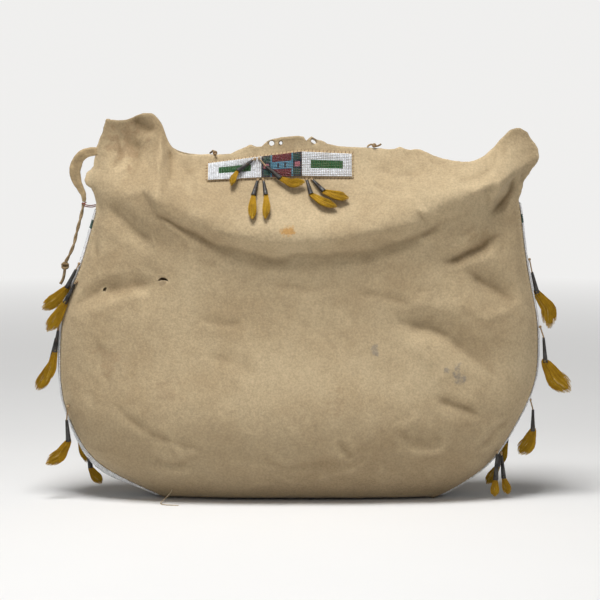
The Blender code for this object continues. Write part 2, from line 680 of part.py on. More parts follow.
def make_strip(hide_tree):
    """The strip: a hide backing, two white fields with a green bar each, and the centre block."""
    grid = strip_grid(hide_tree)
    backing_low = 1.5 * REST_GAP
    backing_high = backing_low + STRIP_BACKING
    low = backing_high + REST_GAP
    high = low + STRIP_BEAD_HEIGHT
    pieces = [strip_slab("strip_backing", "hide", grid, (0.0, STRIP_LENGTH), (0.0, STRIP_HEIGHT),
                         backing_low, backing_high)]
    first = STRIP_MARGIN
    last = STRIP_LENGTH - STRIP_MARGIN
    field = (last - first - CENTRE_BLOCK) / 2 + CENTRE_SHIFT
    block = (first + field + REST_GAP, first + field + CENTRE_BLOCK - REST_GAP)
    rise = (STRIP_MARGIN, STRIP_HEIGHT - STRIP_MARGIN)
    middle = tuple(grid[1][1:3])
    fields = (("left", (first, block[0] - REST_GAP)), ("right", (block[1] + REST_GAP, last)))
    for side, span in fields:
        centre = (span[0] + span[1]) / 2
        gap = (centre - GREEN_BAR / 2, centre + GREEN_BAR / 2)
        pieces.append(strip_slab("strip_white_" + side, "white_beads", grid, span, rise,
                                 low, high, (gap, middle)))
        bar = (gap[0] + REST_GAP, gap[1] - REST_GAP)
        bar_rise = (middle[0] + REST_GAP, middle[1] - REST_GAP)
        pieces.append(strip_slab("strip_green_" + side, "green_beads", grid, bar, bar_rise,
                                 low, high))
    band = (block[0] + CENTRE_BLOCK / 4, block[1] - CENTRE_BLOCK / 4)
    pieces.append(strip_slab("strip_centre", "navy_beads", grid, block, rise, low, high,
                             (band, middle)))
    inside = (band[0] + REST_GAP, band[1] - REST_GAP)
    pieces.append(strip_slab("strip_centre_band", "blue_beads", grid, inside,
                             (middle[0] + REST_GAP, middle[1] - REST_GAP), low, high))
    return pieces


def ring_frame(direction, flat_way):
    """Two directions across a line: one along the flat side's normal, one along its width."""
    through = (flat_way - direction * flat_way.dot(direction)).normalized()
    return direction.cross(through).normalized(), through


def loft(centres, widths, depths, flat_way, sides=6):
    """A closed body of rings along a line, each with its own width and depth."""
    bm = bmesh.new()
    rings = []
    for i, centre in enumerate(centres):
        ahead = centres[min(i + 1, len(centres) - 1)]
        behind = centres[max(i - 1, 0)]
        wide, deep = ring_frame((ahead - behind).normalized(), flat_way)
        ring = []
        for k in range(sides):
            turn = 2 * math.pi * k / sides
            offset = wide * math.cos(turn) * widths[i] + deep * math.sin(turn) * depths[i]
            ring.append(bm.verts.new(centre + offset))
        rings.append(ring)
    for low, high in zip(rings, rings[1:]):
        for k in range(sides):
            after = (k + 1) % sides
            bm.faces.new((low[k], low[after], high[after], high[k]))
    bm.faces.new(rings[0][::-1])
    bm.faces.new(rings[-1])
    bmesh.ops.recalc_face_normals(bm, faces=bm.faces)
    return bm


def cone_mesh(top, mouth):
    """A rolled tin cone, open at both ends."""
    run = mouth - top
    outer = ((0.0, CONE_TOP_RADIUS), (run.length, CONE_MOUTH_RADIUS))
    inner = ((run.length, CONE_MOUTH_RADIUS - TIN_WALL), (0.0, CONE_TOP_RADIUS - TIN_WALL))
    bm = bmesh.new()
    rings = []
    turn_to = Vector((0, 0, 1)).rotation_difference(run)
    for reach, radius in outer + inner:
        made = bmesh.ops.create_circle(bm, cap_ends=False, segments=CONE_SIDES, radius=radius)
        ring = made["verts"]
        for vert in ring:
            vert.co = top + turn_to @ Vector((vert.co.x, vert.co.y, reach))
        rings.append(ring)
    for low, high in zip(rings, rings[1:] + rings[:1]):
        for k in range(CONE_SIDES):
            after = (k + 1) % CONE_SIDES
            bm.faces.new((low[k], low[after], high[after], high[k]))
    bmesh.ops.recalc_face_normals(bm, faces=bm.faces)
    return bm


def make_dangle(name, hook, directions, lengths, flat_way, settle):
    """One dangle: a thong with its feather, and the tin cone that the thong runs through.

    settle moves a place until something of a given radius there is clear of the bag.
    """
    thong, cone, feather = lengths
    top = settle(hook + directions[0] * thong, CONE_TOP_RADIUS)
    mouth = settle(top + directions[1] * cone, CONE_MOUTH_RADIUS)
    mouth = top + (mouth - top).normalized() * cone
    middle = settle(mouth + directions[2] * feather * 0.5, FEATHER_WIDTH / 2)
    tip = settle(middle + directions[3] * feather * 0.5, FEATHER_WIDTH / 4)
    cone_run = (mouth - top).normalized()
    first_run = (top - hook).normalized()
    inside = CONE_TOP_RADIUS - TIN_WALL - 1.6 * REST_GAP
    wide = FEATHER_WIDTH / 2
    deep = FEATHER_DEPTH / 2
    # Each ring: centre, half width and half depth, from the knot at the hook to the feather's tip.
    rings = (
        (hook - first_run * HOOK_RADIUS * 0.8, HOOK_RADIUS * 0.6, HOOK_RADIUS * 0.6),
        (hook, HOOK_RADIUS, HOOK_RADIUS),
        (hook + first_run * HOOK_RADIUS * 1.2, THONG_RADIUS, THONG_RADIUS),
        (top + cone_run * TIN_WALL, inside, inside),
        (mouth - cone_run * TIN_WALL, FEATHER_ROOT_RADIUS, FEATHER_ROOT_RADIUS),
        (mouth.lerp(middle, 0.45), wide * 0.55, deep),
        (middle, wide * 0.85, deep),
        (middle.lerp(tip, 0.6), wide, deep * 0.8),
        (tip, wide * 0.5, deep * 0.4),
    )
    tassel = loft(*zip(*rings), flat_way)
    add_object(name + "_tassel", tassel, "feather", hook)
    add_object(name + "_cone", cone_mesh(top, mouth), "tin", hook)


def side_surface(trees, side, y, z):
    """Place and outward direction on the side of the bag, at a depth and a height."""
    step = 4 * MM

    def place(py, pz):
        return nearest_hit(trees, Vector((side * BAG_WIDTH, py, pz)), Vector((-side, 0, 0)))

    up = place(y, z + step) - place(y, z - step)
    across = place(y + step, z) - place(y - step, z)
    away = across.cross(up).normalized()
    return place(y, z), away if away.x * side > 0 else -away


def make_strip_dangles(trees):
    """The dangles that lie on the front: two at the strip's top edge, four at its lower edge."""
    for name, (reach, up), lengths, angles in STRIP_DANGLES:
        spot = strip_place(reach * STRIP_LENGTH, up * STRIP_HEIGHT)
        seat, outward = front_surface(trees, *spot)
        hook = seat + outward * (HOOK_RADIUS + REST_GAP)
        across = Vector((1, 0, 0))
        across = (across - outward * across.dot(outward)).normalized()
        down = across.cross(outward).normalized()
        if down.z > 0:
            down = -down
        turns = [math.radians(a) for a in angles]
        directions = [down * math.cos(t) + across * math.sin(t) for t in turns]

        def settle(place, radius):
            near, away = front_surface(trees, place.x, place.z)
            short = radius + STRIP_CLEARANCE - (place - near).dot(away)
            return place + away * max(short, 0.0)

        make_dangle(name, hook, directions, lengths, outward, settle)


def make_seam_dangles(trees):
    """The dangles along the side seams: each hangs beside the gusset and swings outwards."""
    for name, (side, share, depth), lengths, angles in SEAM_DANGLES:
        seat, away = side_surface(trees, side, depth, share * RIM_HEIGHT)
        hook = seat + away * (HOOK_RADIUS + REST_GAP)
        turns = [math.radians(a) for a in angles]
        directions = [Vector((math.sin(t), 0, -math.cos(t))) for t in turns]
        hang = hook.y

        def settle(place, radius):
            edges = [side_surface(trees, side, hang + shift, place.z)[0].x * side
                     for shift in (-radius, 0.0, radius)]
            short = max(edges) + radius + CLEARANCE - place.x * side
            return place + Vector((side, 0, 0)) * max(short, 0.0)

        make_dangle(name, hook, directions, lengths, Vector((0, -1, 0)), settle)


def route(points, count, seat=Vector()):
    """Evenly spaced places on the smooth line through a route in millimetres from its seat."""
    line = smooth_line([[c * MM for c in p] for p in points])
    return [seat + Vector(along(line, share)) for share in np.linspace(0, 1, count)]


def make_tube(name, finish, places, diameter):
    """A cord: a curve with a round section and closed ends."""
    curve = bpy.data.curves.new(name, "CURVE")
    curve.dimensions = "3D"
    curve.bevel_depth = diameter / 2
    curve.bevel_resolution = 2
    curve.use_fill_caps = True
    spline = curve.splines.new("POLY")
    spline.points.add(len(places) - 1)
    for point, place in zip(spline.points, places):
        point.co = (*place, 1.0)
    curve.materials.append(material(finish))
    item = bpy.data.objects.new(name, curve)
    bpy.context.collection.objects.link(item)
    return item


def make_strap():
    """The hide strap: it leaves the left ear's edge, bows out and narrows into the tie cord."""
    levels = [side_point(LEFT_LINES, v)[1] for v in row_shares()[SEAM_ROWS:]]
    shares = row_shares()[SEAM_ROWS:]
    edge = front_point(0.0, float(np.interp(STRAP_TOP * RIM_HEIGHT, levels, shares)))
    end = Vector(TIE_CORD_ROUTE[0]) * MM + Vector((0, 0, STRAP_END_GAP))
    last = [c / MM for c in end - edge]
    centres = route(STRAP_ROUTE + (last,), STRAP_RINGS, edge)
    widths = np.interp(np.linspace(0, 1, STRAP_RINGS), *zip(*STRAP_WIDTHS)) * STRAP_WIDTH / 2
    corners = ((1, 1), (-1, 1), (-1, -1), (1, -1))
    bm = bmesh.new()
    rings = []
    for i, centre in enumerate(centres):
        ahead = centres[min(i + 1, STRAP_RINGS - 1)]
        run = (ahead - centres[max(i - 1, 0)]).normalized()
        wide, through = ring_frame(run, Vector((0, 1, 0)))
        wide *= widths[i]
        thick = through * STRAP_THICKNESS / 2
        rings.append([bm.verts.new(centre + wide * a + thick * b) for a, b in corners])
    for low, high in zip(rings, rings[1:]):
        for k in range(4):
            after = (k + 1) % 4
            bm.faces.new((low[k], low[after], high[after], high[k]))
    bm.faces.new(rings[0][::-1])
    bm.faces.new(rings[-1])
    bmesh.ops.recalc_face_normals(bm, faces=bm.faces)
    return add_object("side_strap", bm, "strap")


def make_knot():
    """The knot at the end of the tie cord, with its short tail."""
    start, middle, end = [Vector(p) * MM for p in TIE_TAIL_ROUTE]
    run = (middle - start).normalized()
    half = KNOT_DIAMETER / 2
    # Each ring: distance along the cord and radius, as shares of the knot's half diameter.
    knot = ((-0.75, 0.5), (-0.4, 0.95), (0.3, 1.0), (0.8, 0.5))
    centres = [start + run * half * reach for reach, _ in knot] + [middle, end]
    radii = [half * share for _, share in knot] + [TAIL_RADIUS, TAIL_RADIUS]
    return add_object("tie_knot", loft(centres, radii, radii, Vector((0, 1, 0)), 8), "strap")


def rim_seat(trees, x, y):
    """The top of a wall's rim near a place, found from above."""
    best = None
    for shift in np.linspace(-RIM_SEARCH, RIM_SEARCH, 33):
        start = Vector((x, y + shift, 2 * RIM_HEIGHT))
        for tree in trees:
            place = tree.ray_cast(start, Vector((0, 0, -1)))[0]
            if place is not None and (best is None or place.z > best.z):
                best = place
    return best


def rim_tie_depth(x, form, belly):
    """Depth of a wall's rim at a distance along the bag."""
    return wall_depth(0.5 + x / BAG_WIDTH, RIM_HEIGHT, form, belly)


def make_rim_tie(name, points, seat, knot_at):
    """A thong tied through the rim: a round thong that swells where it is knotted."""
    centres = route(points, RIM_TIE_RINGS, seat)
    middle = (RIM_TIE_RINGS - 1) * knot_at
    radii = [RIM_TIE_RADIUS * (1 + RIM_TIE_KNOT * math.exp(-((i - middle) ** 2)))
             for i in range(RIM_TIE_RINGS)]
    return add_object(name, loft(centres, radii, radii, Vector((0.1, 0.2, 1)), 6), "strap")


def make_sinew(trees):
    """The loose end of sewing sinew at the lower left corner, which curls down to the floor."""
    seat, away = front_surface(trees, *SINEW_SEAT)
    start = seat + away * (SINEW_DIAMETER / 2 + REST_GAP)
    low = start.z - SINEW_DIAMETER / 2 - REST_GAP
    points = [(x, y, max(z, -low / MM)) for x, y, z in SINEW_ROUTE]
    places = route(points, SINEW_POINTS, start)
    return make_tube("loose_sinew", "sinew", places, SINEW_DIAMETER)


clear_scene()
hide = make_hide()
left_pieces = make_gusset(-1, "left_gusset")
right_pieces = make_gusset(1, "right_gusset")
hide_tree = surface_tree([hide])
strip_pieces = make_strip(hide_tree)
make_strip_dangles(surface_tree([hide] + strip_pieces))
make_seam_dangles(surface_tree([hide, *left_pieces, *right_pieces]))
make_strap()
make_tube("tie_cord", "strap", route(TIE_CORD_ROUTE, TIE_CORD_POINTS), TIE_CORD_DIAMETER)
make_knot()
left_seat = rim_seat(hide_tree, LEFT_TIE_X, rim_tie_depth(LEFT_TIE_X, BACK_FORM, BACK_BELLY))
make_rim_tie("rim_tie_left", LEFT_TIE_ROUTE, left_seat, 0.15)
right_seat = rim_seat(hide_tree, RIGHT_TIE_X, -rim_tie_depth(RIGHT_TIE_X, FRONT_FORM, FRONT_BELLY))
make_rim_tie("rim_tie_right", RIGHT_TIE_ROUTE, right_seat, 0.55)
make_sinew(hide_tree)
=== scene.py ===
import json
import math

import bmesh
import bpy
import numpy as np
from mathutils import Matrix, Vector, noise
from mathutils.bvhtree import BVHTree
from mathutils.kdtree import KDTree


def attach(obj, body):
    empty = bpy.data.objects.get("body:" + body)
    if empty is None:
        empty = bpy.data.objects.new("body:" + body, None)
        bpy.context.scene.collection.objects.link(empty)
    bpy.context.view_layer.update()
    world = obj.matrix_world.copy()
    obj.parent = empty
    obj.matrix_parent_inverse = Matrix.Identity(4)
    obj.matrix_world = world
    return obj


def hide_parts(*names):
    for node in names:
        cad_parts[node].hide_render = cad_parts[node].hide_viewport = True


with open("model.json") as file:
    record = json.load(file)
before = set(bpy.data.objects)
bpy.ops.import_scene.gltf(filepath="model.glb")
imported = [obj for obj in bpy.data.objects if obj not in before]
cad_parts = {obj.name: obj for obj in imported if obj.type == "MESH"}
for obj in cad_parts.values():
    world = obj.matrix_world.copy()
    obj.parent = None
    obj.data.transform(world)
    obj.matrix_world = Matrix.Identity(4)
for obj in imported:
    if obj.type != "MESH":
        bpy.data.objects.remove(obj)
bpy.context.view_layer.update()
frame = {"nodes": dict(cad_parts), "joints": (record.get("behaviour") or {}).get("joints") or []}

# The room. A pale sweep rises far behind the bag, two soft lamps hang above and in front of it,
# and a long lens looks a little down at the plain front of the bag.
sweep = bmesh.new()
bmesh.ops.create_grid(sweep, x_segments=1, y_segments=60, size=12)
BEND_START = 4.0
BEND_RADIUS = 2.5
for vert in sweep.verts:
    past = vert.co.y - BEND_START
    if past > 0:
        turn = min(past / BEND_RADIUS, math.pi / 2)
        rest = past - turn * BEND_RADIUS
        vert.co.y = BEND_START + BEND_RADIUS * math.sin(turn)
        vert.co.z = BEND_RADIUS * (1 - math.cos(turn)) + rest
sweep_mesh = bpy.data.meshes.new("floor")
sweep.to_mesh(sweep_mesh)
sweep.free()
sweep_mesh.shade_smooth()
floor = bpy.data.objects.new("floor", sweep_mesh)
bpy.context.collection.objects.link(floor)

paper = bpy.data.materials.new("pale_paper")
paper.use_nodes = True
paper_nodes = paper.node_tree.nodes
paper_links = paper.node_tree.links
paper_shader = paper_nodes["Principled BSDF"]
paper_shader.inputs["Roughness"].default_value = 0.95
paper_shader.inputs["Specular IOR Level"].default_value = 0.1
paper_place = paper_nodes.new("ShaderNodeTexCoord")
paper_noise = paper_nodes.new("ShaderNodeTexNoise")
paper_noise.inputs["Scale"].default_value = 3.0
paper_mix = paper_nodes.new("ShaderNodeMix")
paper_mix.data_type = "RGBA"
paper_mix.inputs["A"].default_value = (0.80, 0.795, 0.785, 1)
paper_mix.inputs["B"].default_value = (0.83, 0.825, 0.815, 1)
paper_links.new(paper_place.outputs["Object"], paper_noise.inputs["Vector"])
paper_links.new(paper_noise.outputs["Fac"], paper_mix.inputs["Factor"])
paper_links.new(paper_mix.outputs["Result"], paper_shader.inputs["Base Color"])
# Far from the bag, on every side, the camera sees the paper evenly pale, with no horizon.
paper_away = paper_nodes.new("ShaderNodeVectorMath")
paper_away.operation = "LENGTH"
paper_far = paper_nodes.new("ShaderNodeMapRange")
paper_far.inputs["From Min"].default_value = 0.6
paper_far.inputs["From Max"].default_value = 3.0
paper_rays = paper_nodes.new("ShaderNodeLightPath")
paper_seen = paper_nodes.new("ShaderNodeMath")
paper_seen.operation = "MULTIPLY"
paper_glow = paper_nodes.new("ShaderNodeEmission")
paper_glow.inputs["Color"].default_value = (0.87, 0.865, 0.855, 1)
paper_blend = paper_nodes.new("ShaderNodeMixShader")
paper_links.new(paper_place.outputs["Object"], paper_away.inputs["Vector"])
paper_links.new(paper_away.outputs["Value"], paper_far.inputs["Value"])
paper_links.new(paper_far.outputs["Result"], paper_seen.inputs[0])
paper_links.new(paper_rays.outputs["Is Camera Ray"], paper_seen.inputs[1])
paper_links.new(paper_seen.outputs[0], paper_blend.inputs["Fac"])
paper_links.new(paper_shader.outputs[0], paper_blend.inputs[1])
paper_links.new(paper_glow.outputs[0], paper_blend.inputs[2])
paper_links.new(paper_blend.outputs[0], paper_nodes["Material Output"].inputs["Surface"])
sweep_mesh.materials.append(paper)

world = bpy.data.worlds.new("studio")
bpy.context.scene.world = world
world.use_nodes = True
world_nodes = world.node_tree.nodes
world_links = world.node_tree.links
for node in list(world_nodes):
    world_nodes.remove(node)
ambient = world_nodes.new("ShaderNodeBackground")
ambient.inputs["Color"].default_value = (1.0, 1.0, 1.0, 1)
ambient.inputs["Strength"].default_value = 0.15
seen = world_nodes.new("ShaderNodeBackground")
seen.inputs["Color"].default_value = (0.78, 0.77, 0.75, 1)
seen.inputs["Strength"].default_value = 1.0
rays = world_nodes.new("ShaderNodeLightPath")
either = world_nodes.new("ShaderNodeMath")
either.operation = "MAXIMUM"
chosen = world_nodes.new("ShaderNodeMixShader")
world_out = world_nodes.new("ShaderNodeOutputWorld")
world_links.new(rays.outputs["Is Camera Ray"], either.inputs[0])
world_links.new(rays.outputs["Is Glossy Ray"], either.inputs[1])
world_links.new(either.outputs[0], chosen.inputs["Fac"])
world_links.new(ambient.outputs[0], chosen.inputs[1])
world_links.new(seen.outputs[0], chosen.inputs[2])
world_links.new(chosen.outputs[0], world_out.inputs["Surface"])

# Each lamp: name, place, size and power. All of them point at the middle of the bag.
LAMPS = (
    ("top_lamp", (-0.25, -0.62, 2.4), 0.9, 60.0),
    ("front_lamp", (-1.6, -2.3, 1.1), 1.6, 8.0),
    ("right_lamp", (2.1, -1.2, 0.9), 1.4, 4.0),
)
BAG_MIDDLE = Vector((0, 0, 0.22))
for lamp_name, lamp_place, lamp_size, lamp_power in LAMPS:
    lamp_data = bpy.data.lights.new(lamp_name, "AREA")
    lamp_data.shape = "SQUARE"
    lamp_data.size = lamp_size
    lamp_data.energy = lamp_power
    lamp = bpy.data.objects.new(lamp_name, lamp_data)
    lamp.location = lamp_place
    lamp.rotation_euler = (BAG_MIDDLE - Vector(lamp_place)).to_track_quat("-Z", "Y").to_euler()
    bpy.context.collection.objects.link(lamp)

CAMERA_DISTANCE = 2.6
CAMERA_RISE = math.radians(5.5)
CAMERA_TARGET = Vector((0, 0, 0.2275))
PICTURE_WIDTH = 0.69
camera_data = bpy.data.cameras.new("camera")
camera_data.sensor_width = 36
camera_data.lens = 36 * CAMERA_DISTANCE / PICTURE_WIDTH
camera = bpy.data.objects.new("camera", camera_data)
look_back = Vector((0, -math.cos(CAMERA_RISE), math.sin(CAMERA_RISE)))
camera.location = CAMERA_TARGET + look_back * CAMERA_DISTANCE
camera.rotation_euler = (-look_back).to_track_quat("-Z", "Y").to_euler()
bpy.context.collection.objects.link(camera)
bpy.context.scene.camera = camera
bpy.context.scene.view_settings.view_transform = "Standard"


# The tie cord. A stiff hide thong, rolled from two strands, hangs from the foot of the strap down
# the left side of the bag and ends in a knot. TIE_ROUTE is in millimetres.
MM = 0.001
TIE_ROUTE = (
    (-247.6, -2, 339.5), (-249.8, -2, 328), (-253.5, -2, 314), (-256.5, -2, 303), (-259.5, -2, 291),
    (-264, -2, 280.5), (-268.6, -2, 272.1),
)
TIE_POINTS = 12
TIE_DIAMETER = 0.004


def line_through(points, per_span=8):
    """A dense smooth line through a route's points."""
    route = [Vector(p) for p in points]
    route = [2 * route[0] - route[1]] + route + [2 * route[-1] - route[-2]]
    line = []
    for a, b, c, d in zip(route, route[1:], route[2:], route[3:]):
        for step in range(per_span):
            t = step / per_span
            line.append(0.5 * (2 * b + (c - a) * t + (2 * a - 5 * b + 4 * c - d) * t**2
                               + (3 * b - a - 3 * c + d) * t**3))
    line.append(route[-2])
    return line


def line_length(line):
    return sum((b - a).length for a, b in zip(line, line[1:]))


def even_route(points, count, seat=Vector()):
    """Even places, to 0.01 mm, on the smooth line through a route in millimetres from its seat."""
    line = line_through([Vector(p) * MM for p in points], 10)
    reach = np.cumsum([0.0] + [(b - a).length for a, b in zip(line, line[1:])])
    marks = np.linspace(0, reach[-1], count)
    columns = [np.interp(marks, reach, [p[k] for p in line]) for k in range(3)]
    return [Vector([round(v, 5) for v in seat + Vector(place)]) for place in zip(*columns)]


def thong_mesh(name, lines, radius, taper=None, sides=2):
    """Round thongs along lines, as one closed mesh. taper gives the radius at a share of a line."""
    curve = bpy.data.curves.new(name + "_curve", "CURVE")
    curve.dimensions = "3D"
    curve.bevel_depth = radius
    curve.bevel_resolution = sides
    curve.use_fill_caps = True
    for line in lines:
        spline = curve.splines.new("POLY")
        spline.points.add(len(line) - 1)
        for i, (point, place) in enumerate(zip(spline.points, line)):
            point.co = (*place, 1.0)
            point.radius = taper(i / (len(line) - 1)) if taper else 1.0
    shaped = bpy.data.objects.new(name + "_shaped", curve)
    bpy.context.collection.objects.link(shaped)
    graph = bpy.context.evaluated_depsgraph_get()
    mesh = bpy.data.meshes.new_from_object(shaped.evaluated_get(graph))
    mesh.name = name
    bpy.data.objects.remove(shaped, do_unlink=True)
    bpy.data.curves.remove(curve)
    mesh.shade_smooth()
    return mesh


def add_piece(name, mesh, finish, body, slot, nodes=()):
    """Link a finished piece, let it ride on its body and stand for its plain solids."""
    mesh.materials.clear()
    mesh.materials.append(finish)
    piece = bpy.data.objects.new(name, mesh)
    bpy.context.collection.objects.link(piece)
    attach(piece, body)
    if nodes:
        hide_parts(*nodes)
    return piece


def twisted_strands(line, count, offset, pitch):
    """Lines that wind round a line, each its own way round it."""
    reach = 0.0
    strands = [[] for _ in range(count)]
    for i, place in enumerate(line):
        ahead = line[min(i + 1, len(line) - 1)]
        behind = line[max(i - 1, 0)]
        run = (ahead - behind).normalized()
        across = run.cross(Vector((0, 1, 0))).normalized()
        deep = run.cross(across)
        for k, strand in enumerate(strands):
            turn = 2 * math.pi * (reach / pitch + k / count)
            strand.append(place + (across * math.cos(turn) + deep * math.sin(turn)) * offset)
        if i + 1 < len(line):
            reach += (line[i + 1] - place).length
    return strands


def new_finish(name, roughness=0.5, shine=0.5):
    """A new material: its nodes, links and shader, and the places that its patterns follow."""
    finish = bpy.data.materials.new(name)
    finish.use_nodes = True
    nodes = finish.node_tree.nodes
    shader = nodes["Principled BSDF"]
    shader.inputs["Roughness"].default_value = roughness
    shader.inputs["Specular IOR Level"].default_value = shine
    place = nodes.new("ShaderNodeTexCoord").outputs["Object"]
    return finish, nodes, finish.node_tree.links, shader, place


def spread(nodes, links, value, start, stop, low, high):
    """A value read from one range, from start to stop, as another, from low to high."""
    reading = nodes.new("ShaderNodeMapRange")
    reading.inputs["From Min"].default_value = start
    reading.inputs["From Max"].default_value = stop
    reading.inputs["To Min"].default_value = low
    reading.inputs["To Max"].default_value = high
    links.new(value, reading.inputs["Value"])
    return reading.outputs["Result"]


def noise_shade(nodes, links, place, scale, detail, low, high, start=0.35, stop=0.65):
    """A noise over the surface, read as a number from low to high."""
    pattern = nodes.new("ShaderNodeTexNoise")
    pattern.inputs["Scale"].default_value = scale
    pattern.inputs["Detail"].default_value = detail
    pattern.inputs["Roughness"].default_value = 0.6
    links.new(place, pattern.inputs["Vector"])
    return spread(nodes, links, pattern.outputs["Fac"], start, stop, low, high)


def tint(nodes, links, share, below, above, way="MIX"):
    """Lay a colour over another by a share. Each colour is given, or comes from another node."""
    mix = nodes.new("ShaderNodeMix")
    mix.data_type = "RGBA"
    mix.blend_type = way
    for colour, entry in ((below, "A"), (above, "B")):
        if isinstance(colour, tuple):
            mix.inputs[entry].default_value = (*colour, 1)
        else:
            links.new(colour, mix.inputs[entry])
    if isinstance(share, float):
        mix.inputs["Factor"].default_value = share
    else:
        links.new(share, mix.inputs["Factor"])
    return mix.outputs["Result"]


def shade_by(nodes, links, colour, share):
    """A colour made darker or lighter by a share."""
    shaded = nodes.new("ShaderNodeVectorMath")
    shaded.operation = "SCALE"
    if isinstance(colour, tuple):
        shaded.inputs[0].default_value = colour
    else:
        links.new(colour, shaded.inputs[0])
    links.new(share, shaded.inputs["Scale"])
    return shaded.outputs["Vector"]


def roughen(nodes, links, shader, height, strength, distance):
    """Let a pattern stand out of the surface."""
    bump = nodes.new("ShaderNodeBump")
    bump.inputs["Strength"].default_value = strength
    bump.inputs["Distance"].default_value = distance
    links.new(height, bump.inputs["Height"])
    links.new(bump.outputs["Normal"], shader.inputs["Normal"])


def thong_finish(name, pale, dark, roughness=0.8):
    """Worn hide thong: pale and darker greasy patches at random, with fine fibres."""
    finish, nodes, links, shader, place = new_finish(name, roughness, 0.3)
    patches = noise_shade(nodes, links, place, 90, 5, 0.0, 1.0)
    colour = tint(nodes, links, patches, pale, dark)
    fibres = noise_shade(nodes, links, place, 900, 4, 0.75, 1.1)
    links.new(shade_by(nodes, links, colour, fibres), shader.inputs["Base Color"])
    roughen(nodes, links, shader, fibres, 0.5, 0.0004)
    return finish


tie_finish = thong_finish("rolled_thong", (0.44, 0.32, 0.18), (0.25, 0.165, 0.08))
tie_line = line_through(even_route(TIE_ROUTE, TIE_POINTS), 6)
tie_strands = twisted_strands(tie_line, 2, TIE_DIAMETER * 0.19, TIE_DIAMETER * 7)
tie_mesh = thong_mesh("tie_cord_thong", tie_strands, TIE_DIAMETER * 0.32)
tie_cord = add_piece("tie_cord_thong", tie_mesh, tie_finish, "bag", "strap", ["tie_cord"])

KNOT_THONG = 0.0017
# The knot's turns: tilt, shift up and radius in millimetres.
KNOT_WRAPS = ((0.5, -1.4, 2.9), (-0.4, 0.9, 3.0), (1.1, 0.2, 2.6))
KNOT_MIDDLE = Vector((-0.2695, -0.002, 0.2674))
KNOT_TAIL = ((-0.2697, -0.002, 0.2655), (-0.2705, -0.0025, 0.258), (-0.2722, -0.0018, 0.2515),
             (-0.2752, -0.002, 0.2462))
knot_lines = []
for wrap_tilt, wrap_shift, wrap_radius in KNOT_WRAPS:
    wrap = []
    for step in range(21):
        turn = 2 * math.pi * step / 20
        around = Vector((math.cos(turn), math.sin(turn), math.sin(turn) * wrap_tilt))
        wrap.append(KNOT_MIDDLE + around * wrap_radius * MM + Vector((0, 0, wrap_shift * MM)))
    knot_lines.append(wrap)
knot_mesh = thong_mesh("tie_knot_thong", knot_lines + [line_through(KNOT_TAIL, 5)], KNOT_THONG)
tie_knot = add_piece("tie_knot_thong", knot_mesh, tie_finish, "bag", "strap", ["tie_knot"])
tuple(tie_line[0])
round(line_length(tie_line), 3)
[tuple(p) for p in tie_line]

# The loose sewing thread. One end of the sinew that sews the lower left corner has come out, and
# curls down onto the floor.
SINEW_SEAT = Vector((-0.1461453, -0.0359448, 0.0134992))
SINEW_ROUTE = (
    (0, 0, 0), (-2.5, -4, -4), (-6.5, -8, -8), (-11, -13, -11.5), (-12, -20, -13.1),
    (-7, -27, -13.1), (1, -30, -13.1), (9, -31, -13.1),
)
SINEW_POINTS = 17
FLOOR_GAP = 0.0003
SINEW_DIAMETER = 0.001
sinew_finish = thong_finish("sinew", (0.62, 0.52, 0.36), (0.42, 0.32, 0.19), 0.55)
sinew_low = (FLOOR_GAP + SINEW_DIAMETER / 2 - SINEW_SEAT.z) / MM
sinew_route = [(x, y, max(z, sinew_low)) for x, y, z in SINEW_ROUTE]
sinew_line = line_through(even_route(sinew_route, SINEW_POINTS, SINEW_SEAT), 4)
sinew_mesh = thong_mesh("sinew_thread", [sinew_line], SINEW_DIAMETER / 2)
sinew = add_piece("sinew_thread", sinew_mesh, sinew_finish, "bag", "sinew", ["loose_sinew"])
tuple(sinew_line[0])
round(line_length(sinew_line), 3)
[tuple(p) for p in sinew_line]

# The bag itself. One soft brain-tanned hide is folded under the base, so that front, base and back
# are one piece. It is stuffed full: the front bellies out under a deep roll below the rim, and the
# corners of the mouth stand up as two limp ears.
BAG_WIDTH = 0.552
RIM_HEIGHT = 0.400
BASE_LENGTH = 0.306


def in_metres(shares):
    """Places across and up, to 0.1 mm, from shares of half the width and of the rim's height."""
    return [(round(x * BAG_WIDTH / 2, 4), round(z * RIM_HEIGHT, 4)) for x, z in shares]


LEFT_SEAM = [(-BASE_LENGTH / 2, 0.0)] + in_metres((
    (-0.650, 0.032), (-0.786, 0.082), (-0.845, 0.110), (-0.889, 0.142), (-0.946, 0.214),
    (-0.987, 0.302), (-0.992, 0.434), (-0.980, 0.526), (-0.948, 0.598), (-0.903, 0.671),
    (-0.849, 0.797), (-0.836, 0.840),
))
RIGHT_SEAM = [(BASE_LENGTH / 2, 0.0)] + in_metres((
    (0.667, 0.040), (0.795, 0.107), (0.877, 0.193), (0.957, 0.302), (0.983, 0.380),
    (0.981, 0.523), (0.965, 0.573), (0.932, 0.691), (0.909, 0.820), (0.901, 0.857),
))
LEFT_EAR = in_metres((
    (-0.836, 0.840), (-0.862, 0.900), (-0.848, 0.952), (-0.843, 1.009), (-0.808, 1.054),
    (-0.800, 1.089),
))
RIGHT_EAR = in_metres((
    (0.901, 0.857), (0.914, 0.900), (0.932, 0.928), (0.969, 0.951), (1.000, 0.979),
    (0.970, 1.019), (0.918, 1.061),
))
